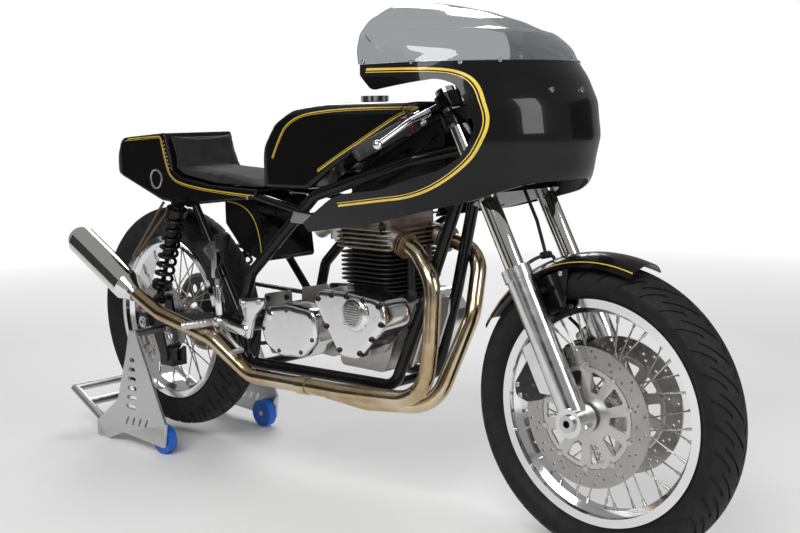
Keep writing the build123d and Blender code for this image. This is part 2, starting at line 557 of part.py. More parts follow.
FIN_START = 36.0
fins = int((BARREL_TOP - BARREL_BASE - FIN_START) / FIN_PITCH)
barrel = [Pos(BARREL_X, 0, (BARREL_BASE + BARREL_TOP) / 2) * Box(BARREL_LENGTH - 56, BARREL_WIDTH - 50, BARREL_TOP - BARREL_BASE)]
barrel.append(Pos(BARREL_X, 0, BARREL_BASE + 4) * Box(BARREL_LENGTH - 6, CASE_W, 8))
for i in range(fins):
    z = BARREL_BASE + FIN_START + i * FIN_PITCH
    fin = extrude(RectangleRounded(BARREL_LENGTH, BARREL_WIDTH, 30), amount=FIN_T)
    barrel.append(Pos(BARREL_X, 0, z) * fin)
block = fuse(barrel)
save("cylinder_block", block)
head = [Pos(BARREL_X, 0, (BARREL_TOP + HEAD_TOP) / 2) * Box(BARREL_LENGTH - 30, BARREL_WIDTH - 40, HEAD_TOP - BARREL_TOP)]
for i in range(4):
    fin = extrude(RectangleRounded(BARREL_LENGTH + 16, BARREL_WIDTH + 6, 26), amount=FIN_T)
    head.append(Pos(BARREL_X, 0, BARREL_TOP + 6 + i * FIN_PITCH) * fin)
for s in (-1, 1):
    head.append(rod((BARREL_X, s * PORT_Y, 690), (BARREL_X + 104, s * PORT_Y, 672), 27))
    head.append(rod((BARREL_X, s * 52, 690), (BARREL_X - 96, s * 52, 690), 22))
for x in (-44, 44):
    box = Pos(BARREL_X + x, 0, HEAD_TOP) * extrude(RectangleRounded(54, BARREL_WIDTH - 34, 14), amount=32)
    head.append(box)
save("cylinder_head", fuse(head) - block)

# Carburettors behind the head
carbs = []
for s in (-1, 1):
    y = s * 52
    x = BARREL_X - 96 - SEAT_GAP
    parts = [rod((x, y, 690), (x - 66, y, 690), 21), rod((x - 34, y, 640), (x - 34, y, 738), 20),
             rod((x - 66, y, 690), (x - 92, y, 690), 22, 33)]
    bore = rod((x + 1, y, 690), (x - 95, y, 690), 15)
    carbs.append(fuse(parts) - bore)
save("carburettors", *carbs)

# Engine plates
plates = []
for s in (-1, 1):
    front = across(rounded([(246, 500), (292, 512), (286, 470), (236, 345), (214, 335), (226, 420)], 6), *sorted((s * 34, s * 42)))
    rear_y = 76.3 if s < 0 else 48.3
    rear = across(rounded([(-254, 480), (-150, 500), (-150, 330), (-230, 322), (-254, 360)], 10), *sorted((s * rear_y, s * (rear_y + 7.7))))
    plates += [front - case, rear]
save("engine_plates", *plates)

# Exhaust: two header pipes into one, along the right side
NEAR_PIPE = [(BARREL_X + 104 + SEAT_GAP, -74.0, 672.0), (322.0, -74.0, 657.6), (362.0, -104.0, 470.0), (350.0, -112.0, 289.0),
             (100.0, -150.0, 283.0), (-215.0, -172.0, 280.0), (-345.0, -192.0, 372.0), (-560.0, -203.0, 410.0),
             (-700.0, -205.0, 468.0)]
FAR_PIPE = [(BARREL_X + 104 + SEAT_GAP, 74.0, 672.0), (368.0, 74.0, 649.7), (390.0, 18.0, 480.0), (330.0, -52.0, 262.0),
            (160.0, -118.0, 260.0), (60.0, -152.0, 280.0)]
near = tube(NEAR_PIPE, PIPE_R, 48)
far = tube(FAR_PIPE, PIPE_R - 0.4, 42)
save("exhaust_headers", fuse([near, far]))
can_a = Vector(-681.0, SILENCER_Y, 458.0)
can_b = Vector(-961.0, SILENCER_Y, 599.0)
can_dir = (can_b - can_a).normalized()
can_l = (can_b - can_a).length
can = [(PIPE_R + 2, -14), (PIPE_R + 6, 0), (SILENCER_R, 34), (SILENCER_R, can_l - 22), (SILENCER_R - 10, can_l),
       (18, can_l), (18, can_l - 60), (0, can_l - 60), (0, -14)]
can_body = revolve(make_face(Polyline(*[(r, 0, z) for r, z in can], close=True)), Axis.Z)
can_body = Plane(origin=can_a, z_dir=can_dir) * can_body
save("silencer", can_body - near)

# Fuel tank
TANK_SIDE = [(-217.0, 766.8), (-18.0, 766.8), (380.0, 974.0), (40.0, 976.0), (-72.0, 966.0),
             (-135.0, 935.0), (-186.0, 850.0)]
tank = across(rounded(TANK_SIDE, 16), -TANK_HALF, TANK_HALF)
tank = tank - across(rounded([(22, 700), (22, 800), (400, 1000), (420, 700)], 5), -70, 70)
save("fuel_tank", tank)
save("filler_cap", rod((90, 0, 976.3), (90, 0, 990), 34))

# Seat unit and pad
SEAT_SIDE = [(-928.0, 800.0), (-880.0, 772.0), (-700.0, 736.0), (-500.0, 729.0), (-240.0, 728.0), (-224.0, 758.0),
             (-420.0, 764.0), (-560.0, 782.0), (-612.0, 812.0), (-600.0, 900.0), (-850.0, 905.0)]
SEAT_HOLLOW = [(-900.0, 700.0), (-908.0, 802.0), (-842.0, 898.0), (-608.0, 893.0), (-618.0, 806.0), (-562.0, 777.0),
               (-420.0, 759.0), (-226.0, 753.0), (-226.0, 700.0)]
seat = across(rounded(SEAT_SIDE, 8), -SEAT_HALF, SEAT_HALF)
seat = seat - across(make_face(Polyline(*SEAT_HOLLOW, close=True)), 4 - SEAT_HALF, SEAT_HALF - 4)
save("seat_unit", seat)
PAD_SIDE = [(-224.0, 759.0), (-212.0, 782.0), (-240.0, 800.0), (-420.0, 806.0), (-470.0, 880.0), (-492.0, 908.0),
            (-598.0, 906.0), (-610.0, 813.0), (-559.0, 783.0), (-420.0, 765.0)]
pad = across(rounded(PAD_SIDE, 5), -SEAT_HALF + 2, SEAT_HALF - 2)
save("seat_pad", pad)

# Half fairing and screen as thin shells between nested lofts
# Each row: height, nose tip x, half width, x where the round nose meets the straight sides
FAIRING_SECTIONS = [(640.0, 560.0, 205.0, 360.0), (760.0, 640.0, 255.0, 400.0), (850.0, 668.0, 276.0, 425.0),
                    (930.0, 672.0, 280.0, 430.0), (1000.0, 652.0, 275.0, 420.0), (1052.0, 615.0, 262.0, 400.0)]
SCREEN_SECTIONS = [(1052.0, 615.0, 262.0, 400.0), (1096.0, 530.0, 236.0, 340.0), (1140.0, 432.0, 200.0, 272.0),
                   (1180.0, 330.0, 150.0, 205.0), (1204.0, 228.0, 92.0, 140.0)]


def dee(z, nose, half, mid, back, t):
    """D-shaped section: straight sides and a half-ellipse nose, shrunk by t."""
    a = nose - t - mid
    b = half - t
    left = Line((back, -b), (mid, -b))
    front = EllipticalCenterArc((mid, 0), a, b, start_angle=-90, arc_size=180)
    right = Line((mid, b), (back, b))
    end = Line((back, b), (back, -b))
    return Pos(0, 0, z) * make_face([left, front, right, end])


def shell(sections, back, t):
    """Skin of thickness t between two nested lofts, open behind."""
    outer = loft([dee(*row, back, 0) for row in sections])
    inner = loft([dee(*row, back - 40, t) for row in sections])
    return outer - inner


EDGE_LOW = [(76.0, 690.0), (82.0, 676.0), (200.0, 688.0), (324.0, 712.0), (442.0, 738.0), (553.0, 765.0), (640.0, 800.0), (760.0, 812.0)]
EDGE_OPEN = [(313.0, 1029.0), (351.0, 997.0), (429.0, 1006.0), (520.0, 1012.0), (588.0, 990.0), (618.0, 930.0),
             (592.0, 860.0), (530.0, 822.0), (430.0, 796.0), (226.0, 772.0), (76.0, 700.0)]
side_outline = EDGE_LOW + [(760.0, SCREEN_BASE_Z - SEAT_GAP), (305.0, SCREEN_BASE_Z - SEAT_GAP)] + EDGE_OPEN
skin = shell(FAIRING_SECTIONS, 60, SHELL_T)
window = across(rounded(side_outline, 6), -400, 400)
save("fairing", skin & window)
screen_skin = shell(SCREEN_SECTIONS, 40, SCREEN_T)
screen_cut = across(make_face(Polyline((302, SCREEN_BASE_Z), (296, 1090), (150, 1230), (760, 1230), (760, SCREEN_BASE_Z), close=True)), -400, 400)
save("screen", screen_skin & screen_cut)

# Bracket from the frame tube to the fairing's rear end
brackets = []
for s in (-1, 1):
    strip = across(rounded([(-72, 684), (95, 682), (95, 698), (-56, 712)], 5), *sorted((s * 141.0, s * 145)))
    foot = Pos(85, s * (141.0 + 220.8) / 2, 690) * Box(19, 220.8 - 141.0, 6)
    brackets.append(fuse([strip, foot]))
save("fairing_brackets", *brackets)
nose_stay = [rod((428, 0, 838), (560, 0, 930), 9)]
for s in (-1, 1):
    nose_stay.append(rod((560, 0, 930), (645.5, s * 54, 988), 7))
save("fairing_stay", fuse(nose_stay) - head_tube)

# Oil tank between the seat rails and the gearbox
OIL_TOP = 743 - STRUT_R - SEAT_GAP
oil = across(rounded([(-400, OIL_TOP), (-262, OIL_TOP), (-240, 560), (-330, 590), (-400, 660)], 12), -88, 88)
save("oil_tank", oil)

# Rearsets: plate, peg and lever on each side
rearsets = []
for s in (-1, 1):
    plate = across(rounded([(-330, 436), (-262, 440), (-258, 380), (-320, 372)], 12), *sorted((s * 159, s * 166)))
    peg = rod((-300, s * 166, 402), (-300, s * 244, 402), 10)
    lever = across(rounded([(-296, 418), (-240, 408), (-222, 352), (-236, 348), (-256, 392), (-300, 398)], 5),
                   *sorted((s * 166, s * 173)))
    spacer = rod((PIVOT[0], s * (PIVOT_HALF + SEAT_GAP), PIVOT[1]), (PIVOT[0], s * 160, PIVOT[1]), 14)
    rearsets.append(fuse([plate, peg, lever, spacer]))
save("rearsets", *rearsets)

# Rear caliper over the rear disc
rear_block = Box(60, 52, 40) - Box(80, DISC_T + 2 * DISC_SLOT, 80)
rear_cal = fuse(list(rear_block.solids()) + [Pos(0, 0, -26) * Box(60, 52, 14)])
rear_cal = rear_cal.moved(Location((REAR_AXLE_X + 40, REAR_DISC_Y, REAR_AXLE_Z - 100)))
arm_in = SWINGARM_Y - SWINGARM_W / 2
hanger = make_hull((Pos(REAR_AXLE_X, REAR_AXLE_Z) * Circle(26)).edges() + (Pos(REAR_AXLE_X + 40, REAR_AXLE_Z - 104) * Circle(16)).edges())
hanger = across(hanger, -arm_in + SEAT_GAP, REAR_DISC_Y - 26) - rod((REAR_AXLE_X, -200, REAR_AXLE_Z), (REAR_AXLE_X, 200, REAR_AXLE_Z), 15 + SEAT_GAP)
save("rear_caliper", fuse([rear_cal, hanger]))

# Paddock stand
stand = []
PAD_X = -700.0
PAD_R = 10.0
arm_low = PIVOT[1] - 20 + (REAR_AXLE_Z - 19 - PIVOT[1] + 20) * (PIVOT[0] + 6 - PAD_X) / (PIVOT[0] + 50 - REAR_AXLE_X)
PAD_Z = arm_low - PAD_R - SEAT_GAP
PLATE = [(-714, PAD_Z + 10), (-686, PAD_Z + 10), (-556, 92), (-566, 24), (-770, 34), (-850, 0), (-908, 0), (-908, 46), (-790, 130),
         (-736, 270)]
for s in (-1, 1):
    stand.append(across(rounded(PLATE, 4), *sorted((s * STAND_PLATE_Y, s * (STAND_PLATE_Y - STAND_PLATE_T)))))
for y in (-190, 190):
    stand.append(rod((-880, y, 34), (-1060, y, 120), 12))
    stand.append(rod((PAD_X, copysign(arm_in + 2, y), PAD_Z), (PAD_X, copysign(STAND_PLATE_Y - 1, y), PAD_Z), PAD_R))
    stand.append(rod((ROLLER_X, copysign(168, y), ROLLER_R), (ROLLER_X, copysign(STAND_PLATE_Y - 1, y), ROLLER_R), 8))
stand.append(rod((-1055, -190, 118), (-1055, 190, 118), 12))
stand.append(rod((-985, -190, 84), (-985, 190, 84), 12))
save("paddock_stand", fuse(stand))
for s, name in ((-1, "roller_right"), (1, "roller_left")):
    roller = rod((ROLLER_X, s * 170, ROLLER_R), (ROLLER_X, s * 196, ROLLER_R), ROLLER_R)
    roller = roller - rod((ROLLER_X, s * 160, ROLLER_R), (ROLLER_X, s * 200, ROLLER_R), 8 + RUN_GAP)
    save(name, roller)
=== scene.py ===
from math import acos, atan2, cos, degrees, pi, radians, sin, tan

import bmesh
import bpy
from mathutils import Matrix, Vector
from mathutils.bvhtree import BVHTree

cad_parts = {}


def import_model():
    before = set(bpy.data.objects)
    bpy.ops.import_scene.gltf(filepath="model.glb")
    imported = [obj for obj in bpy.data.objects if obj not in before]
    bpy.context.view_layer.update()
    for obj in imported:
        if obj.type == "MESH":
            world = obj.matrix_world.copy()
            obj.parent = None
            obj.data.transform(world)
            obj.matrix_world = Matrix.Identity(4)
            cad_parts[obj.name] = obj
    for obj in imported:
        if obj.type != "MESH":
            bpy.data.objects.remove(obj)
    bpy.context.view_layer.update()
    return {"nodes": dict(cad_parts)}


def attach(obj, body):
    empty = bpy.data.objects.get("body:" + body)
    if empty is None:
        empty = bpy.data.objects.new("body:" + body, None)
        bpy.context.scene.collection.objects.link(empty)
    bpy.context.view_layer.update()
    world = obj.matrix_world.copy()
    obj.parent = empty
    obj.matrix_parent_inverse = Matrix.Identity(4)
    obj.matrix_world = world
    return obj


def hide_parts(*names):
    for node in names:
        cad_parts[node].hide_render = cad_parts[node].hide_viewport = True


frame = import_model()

node = frame["nodes"]


def placed(name, data):
    """A new object in the scene."""
    made = bpy.data.objects.new(name, data)
    bpy.context.scene.collection.objects.link(made)
    return made


def meshed(name, shape):
    """Turns a bmesh into a mesh and frees it."""
    mesh = bpy.data.meshes.new(name)
    shape.to_mesh(mesh)
    shape.free()
    return mesh


def aimed(at, aim):
    """Stands at a place with -Z towards another."""
    way = (Vector(aim) - Vector(at)).to_track_quat("-Z", "Y")
    return Matrix.Translation(at) @ way.to_matrix().to_4x4()


# Camera at the photograph's viewing angle
CAMERA_AT = (2.03916, -1.97330, 0.95213)
CAMERA_YAW = 43.4563
CAMERA_PITCH = -7.8591
CAMERA_ROLL = -1.0570
CAMERA_LENS = 50.67
CAMERA_SENSOR = 36.0
CAMERA_REACH = 60.0


def camera():
    data = bpy.data.cameras.new("camera")
    data.lens = CAMERA_LENS
    data.sensor_width = CAMERA_SENSOR
    data.clip_end = CAMERA_REACH
    eye = placed("camera", data)
    turn = Matrix.Rotation(radians(CAMERA_YAW), 4, "Z")
    tilt = Matrix.Rotation(radians(90 + CAMERA_PITCH), 4, "X")
    roll = Matrix.Rotation(radians(CAMERA_ROLL), 4, "Z")
    eye.matrix_world = Matrix.Translation(CAMERA_AT) @ turn @ tilt @ roll
    bpy.context.scene.camera = eye


camera()


# Finishes
NOISE_ROUGH = 0.55


def shader(tree, kind, inputs=(), **values):
    """A shader node, its inputs set to values or linked from other nodes' outputs."""
    made = tree.nodes.new(kind)
    for key, value in values.items():
        setattr(made, key, value)
    for socket, value in dict(inputs).items():
        if isinstance(value, bpy.types.NodeSocket):
            tree.links.new(value, made.inputs[socket])
        else:
            made.inputs[socket].default_value = value
    return made


class Finish:
    """A procedural material whose patterns sit on the piece's own coordinates, in metres."""

    def __init__(self, name, colour, metal=0.0, rough=0.4, coat=0.0, coat_rough=0.03):
        self.material = bpy.data.materials.new(name)
        self.material.use_nodes = True
        self.tree = self.material.node_tree
        self.surface = self.tree.nodes["Principled BSDF"]
        self.place = self.tree.nodes.new("ShaderNodeTexCoord").outputs["Object"]
        self.set("Base Color", (*colour, 1.0))
        self.set("Metallic", metal)
        self.set("Roughness", rough)
        self.set("Coat Weight", coat)
        self.set("Coat Roughness", coat_rough)

    def set(self, socket, value):
        self.surface.inputs[socket].default_value = value

    def add(self, kind, inputs=(), **values):
        return shader(self.tree, kind, inputs, **values)

    def link(self, source, target):
        self.tree.links.new(source, target)

    def noise(self, scale, detail=4.0, stretch=(1, 1, 1)):
        """Noise of a size per metre, stretched along an axis for a grain."""
        mapping = self.add("ShaderNodeMapping", {"Vector": self.place, "Scale": stretch})
        made = self.add("ShaderNodeTexNoise", {"Vector": mapping.outputs["Vector"], "Scale": scale, "Detail": detail,
                                               "Roughness": NOISE_ROUGH})
        return made.outputs["Fac"]

    def spread(self, source, low, high, start=0.3, stop=0.7):
        """Maps a pattern from start..stop to low..high."""
        made = self.add("ShaderNodeMapRange", {"Value": source, "From Min": start, "From Max": stop, "To Min": low,
                                               "To Max": high})
        return made.outputs["Result"]

    def roughen(self, source, low, high):
        self.link(self.spread(source, low, high), self.surface.inputs["Roughness"])

    def tint(self, source, stops):
        """Colours the surface along a pattern, from (place, colour) stops."""
        ramp = self.add("ShaderNodeValToRGB", {"Fac": source})
        band = ramp.color_ramp
        band.elements[0].position = stops[0][0]
        band.elements[0].color = (*stops[0][1], 1)
        band.elements[1].position = stops[-1][0]
        band.elements[1].color = (*stops[-1][1], 1)
        for place, colour in stops[1:-1]:
            element = band.elements.new(place)
            element.color = (*colour, 1)
        self.link(ramp.outputs["Color"], self.surface.inputs["Base Color"])

    def bump(self, source, depth, strength=1.0):
        """Raises the surface by a pattern, depth in metres."""
        made = self.add("ShaderNodeBump", {"Height": source, "Distance": depth, "Strength": strength})
        earlier = self.surface.inputs["Normal"].links
        if earlier:
            self.link(earlier[0].from_socket, made.inputs["Normal"])
        self.link(made.outputs["Normal"], self.surface.inputs["Normal"])

    def math(self, operation, *values):
        return self.add("ShaderNodeMath", enumerate(values), operation=operation).outputs["Value"]

    def axle_radius(self, x, z):
        """Distance from an axle along Y through x, z."""
        parts = self.add("ShaderNodeSeparateXYZ", {"Vector": self.place})
        dx = self.math("SUBTRACT", parts.outputs["X"], x)
        dz = self.math("SUBTRACT", parts.outputs["Z"], z)
        total = self.math("ADD", self.math("MULTIPLY", dx, dx), self.math("MULTIPLY", dz, dz))
        return self.math("SQRT", total)


def shade(tone):
    return (tone, tone, tone)


def gloss_paint(name, colour):
    """Deep sprayed paint under lacquer, with a faint orange peel and dust."""
    paint = Finish(name, colour, rough=0.22, coat=0.35, coat_rough=0.03)
    paint.set("Specular IOR Level", 0.08)
    paint.roughen(paint.noise(9, 5), 0.16, 0.30)
    paint.bump(paint.noise(260, 2), 0.00008, 0.35)
    return paint


def polished(name, colour, rough=(0.07, 0.20), dents=0.0003):
    """Hand-polished cast alloy with faint swirls and soft waves."""
    metal = Finish(name, colour, metal=1.0)
    metal.roughen(metal.noise(38, 6), *rough)
    metal.bump(metal.noise(14, 2), dents, 0.5)
    metal.bump(metal.noise(420, 3, (1, 1, 0.15)), 0.00004, 0.5)
    return metal


def satin_metal(name, colour, rough=(0.28, 0.42), grain=(1, 1, 1), size=220):
    """Brushed or blasted metal; grain stretches the marks along an axis."""
    metal = Finish(name, colour, metal=1.0)
    metal.roughen(metal.noise(size * 0.2, 5, grain), *rough)
    metal.bump(metal.noise(size, 4, grain), 0.00010, 0.6)
    return metal


def rubber(name, tone, rough=(0.55, 0.75), size=300):
    made = Finish(name, shade(tone))
    made.set("Specular IOR Level", 0.25)
    made.roughen(made.noise(30, 5), *rough)
    made.tint(made.noise(45, 6), [(0.35, shade(tone * 0.8)), (0.7, shade(tone * 1.35))])
    made.bump(made.noise(size, 4), 0.00012, 0.6)
    return made


def disc_steel(name, colour, axle, rough=(0.22, 0.36), pitch=900):
    """Brake disc steel with rings from the pads about its axle."""
    metal = Finish(name, colour, metal=1.0)
    radius = metal.axle_radius(*axle)
    rings = metal.math("SINE", metal.math("MULTIPLY", radius, pitch * 2 * pi))
    metal.roughen(metal.noise(30, 5), *rough)
    metal.bump(rings, 0.00004, 0.5)
    metal.tint(metal.noise(22, 5), [(0.3, tuple(c * 0.85 for c in colour)), (0.7, colour)])
    return metal


FRONT_AXLE = (0.7557, 0.317)
REAR_AXLE = (-0.7443, 0.3544)

BLACK = (0.0045, 0.0045, 0.005)
paint_black = gloss_paint("black_lacquer", BLACK)
frame_black = gloss_paint("frame_enamel", (0.006, 0.006, 0.007))
alloy_polished = polished("polished_alloy", (0.80, 0.80, 0.81))
alloy_slider = polished("slider_alloy", (0.72, 0.72, 0.72), (0.12, 0.26))
alloy_rim = polished("rim_alloy", (0.82, 0.82, 0.83), (0.05, 0.14), 0.0001)
alloy_brushed = satin_metal("brushed_alloy", (0.62, 0.61, 0.60), (0.30, 0.46), (1, 1, 6))
alloy_cast = satin_metal("cast_alloy", (0.50, 0.48, 0.45), (0.34, 0.52), size=500)
alloy_stand = satin_metal("stand_alloy", (0.66, 0.66, 0.66), (0.34, 0.50), (1, 1, 5))
chrome = polished("fork_chrome", (0.82, 0.79, 0.73), (0.03, 0.08), 0.0)
silencer_steel = polished("silencer_steel", (0.83, 0.82, 0.80), (0.06, 0.16), 0.0001)
stainless = satin_metal("stainless_steel", (0.58, 0.57, 0.55), (0.18, 0.32))
dark_grey = Finish("dark_anodising", (0.035, 0.036, 0.038), metal=0.6, rough=0.4)
dark_grey.roughen(dark_grey.noise(60, 5), 0.34, 0.5)
dark_grey.bump(dark_grey.noise(700, 3), 0.00008, 0.5)
fin_black = Finish("barrel_enamel", (0.010, 0.010, 0.010), rough=0.45)
fin_black.roughen(fin_black.noise(50, 5), 0.34, 0.55)
fin_black.bump(fin_black.noise(500, 4), 0.00015, 0.6)
head_alloy = satin_metal("head_alloy", (0.40, 0.36, 0.31), (0.40, 0.58), size=420)
head_alloy.tint(head_alloy.noise(16, 5), [(0.30, (0.19, 0.14, 0.10)), (0.55, (0.36, 0.31, 0.26)),
                                          (0.75, (0.52, 0.50, 0.47))])
header_steel = satin_metal("straw_steel", (0.62, 0.48, 0.30), (0.13, 0.26), size=120)
header_steel.tint(header_steel.noise(6.5, 4), [(0.28, (0.32, 0.21, 0.11)), (0.45, (0.53, 0.40, 0.24)),
                                               (0.60, (0.66, 0.55, 0.38)), (0.78, (0.70, 0.65, 0.56))])
tyre_black = rubber("tyre_rubber", 0.010)
grip_rubber = rubber("grip_rubber", 0.030, size=520)
hose_rubber = rubber("hose_rubber", 0.010, (0.35, 0.5))
chain_steel = satin_metal("chain_steel", (0.26, 0.24, 0.21), (0.32, 0.50), size=300)
sprocket_dark = satin_metal("sprocket_steel", (0.10, 0.10, 0.10), (0.35, 0.5))
front_disc_steel = disc_steel("front_disc_steel", (0.44, 0.43, 0.42), FRONT_AXLE)
rear_disc_steel = disc_steel("rear_disc_steel", (0.44, 0.43, 0.42), REAR_AXLE)
roller_blue = Finish("roller_blue", (0.010, 0.12, 0.55), rough=0.35)
roller_blue.roughen(roller_blue.noise(40, 4), 0.28, 0.5)
roller_blue.bump(roller_blue.noise(300, 3), 0.0001, 0.4)
pad_suede = Finish("pad_suede", (0.020, 0.020, 0.021), rough=0.85)
pad_suede.set("Sheen Weight", 0.12)
pad_suede.set("Specular IOR Level", 0.2)
pad_suede.set("Sheen Roughness", 0.5)
pad_suede.tint(pad_suede.noise(35, 6), [(0.3, shade(0.008)), (0.7, shade(0.018))])
pad_suede.bump(pad_suede.noise(1400, 4), 0.0002, 0.7)
screen_smoke = Finish("smoked_screen", (0.33, 0.34, 0.36), rough=0.02)
screen_smoke.set("Transmission Weight", 1.0)
screen_smoke.set("IOR", 1.49)
screen_smoke.roughen(screen_smoke.noise(20, 4), 0.01, 0.05)

NODE_FINISHES = (
    (frame_black, "main_frame swingarm fairing_stay fork_yokes clip_ons shock_absorbers"),
    (paint_black, "fuel_tank seat_unit fairing oil_tank front_mudguard"),
    (alloy_polished, "timing_cover gearbox_cover primary_cover hand_levers rearsets filler_cap"),
    (alloy_slider, "fork_sliders"), (alloy_rim, "front_rim rear_rim"),
    (alloy_cast, "crankcase gearbox carburettors"), (alloy_brushed, "engine_plates fairing_brackets"),
    (alloy_stand, "paddock_stand"), (fin_black, "cylinder_block"), (head_alloy, "cylinder_head"),
    (header_steel, "exhaust_headers"), (silencer_steel, "silencer"), (chrome, "fork_stanchions"),
    (stainless, "front_axle rear_axle front_hub rear_hub"),
    (front_disc_steel, "front_discs"), (rear_disc_steel, "rear_disc"), (sprocket_dark, "rear_sprocket"),
    (chain_steel, "drive_chain"), (dark_grey, "front_calipers rear_caliper instruments"),
    (tyre_black, "front_tyre rear_tyre"), (grip_rubber, "grips"), (pad_suede, "seat_pad"),
    (screen_smoke, "screen"), (roller_blue, "roller_right roller_left"))
for finish, names in NODE_FINISHES:
    for name in names.split():
        for slot in node[name].material_slots:
            slot.material = finish.material


# Making pieces: places are in millimetres from the middle of the wheelbase
MM = 0.001
SIDES = (-1, 1)
SHIFT = 5.7
CLOSE = 0.001
LEAST_TURN = 0.01
BEND_SHARE = 0.48
BEND_PULL = 1.333
RAKE = radians(27)
FORWARD = Vector((cos(RAKE), 0, sin(RAKE)))
UP_LEG = Vector((-sin(RAKE), 0, cos(RAKE)))
FRONT = (750.0, 0.0, 317.0)
REAR = (-750.0, 0.0, 354.4)
FROM_SIDE = Matrix(((1, 0, 0, 0), (0, 0, 1, 0), (0, 1, 0, 0), (0, 0, 0, 1)))
FROM_FRONT = Matrix(((0, 0, 1, 0), (1, 0, 0, 0), (0, 1, 0, 0), (0, 0, 0, 1)))


def at_leg(t, forward=0.0, y=0.0):
    """Place t up the fork legs' line from the axle, set forward square to it."""
    place = Vector(FRONT) + UP_LEG * t + FORWARD * forward
    return Vector((place.x, y, place.z))


def about(axle, r, angle, y=0.0):
    """Place at a radius and an angle in degrees up about an axle along Y."""
    return Vector((axle[0] + r * cos(radians(angle)), y, axle[2] + r * sin(radians(angle))))


def evaluated(mesh, steps, cutter=None):
    """A mesh after its modifiers, given as (kind, values)."""
    holder = placed("holder", mesh)
    tool = None
    for kind, values in steps:
        step = holder.modifiers.new(kind, kind)
        for key, value in values.items():
            setattr(step, key, value)
        if kind == "BOOLEAN":
            tool = placed("tool", cutter)
            step.object = tool
            step.solver = "EXACT"
    graph = bpy.context.evaluated_depsgraph_get()
    made = bpy.data.meshes.new_from_object(holder.evaluated_get(graph))
    bpy.data.objects.remove(holder)
    if tool:
        bpy.data.objects.remove(tool)
    return made


def curve(r, sides):
    """An empty curve that is round, with closed ends."""
    data = bpy.data.curves.new("run", "CURVE")
    data.dimensions = "3D"
    data.bevel_depth = r
    data.bevel_resolution = sides
    data.use_fill_caps = True
    return data


def eased(part, ease):
    """Rounds the edges of a block's ends, which lie square to Z."""
    if ease:
        rims = [e for e in part.edges if abs(e.verts[0].co.z - e.verts[1].co.z) < CLOSE]
        bmesh.ops.bevel(part, geom=rims, offset=ease, segments=2, profile=0.5, affect="EDGES", material=-1)


def raised(part, low, thick):
    """Makes a block of a flat face in X and Y, from a height up."""
    made = bmesh.ops.extrude_face_region(part, geom=part.faces[:], use_keep_orig=True)
    moved = [v for v in made["geom"] if isinstance(v, bmesh.types.BMVert)]
    bmesh.ops.translate(part, vec=(0, 0, thick), verts=moved)
    bmesh.ops.translate(part, vec=(0, 0, low), verts=part.verts)


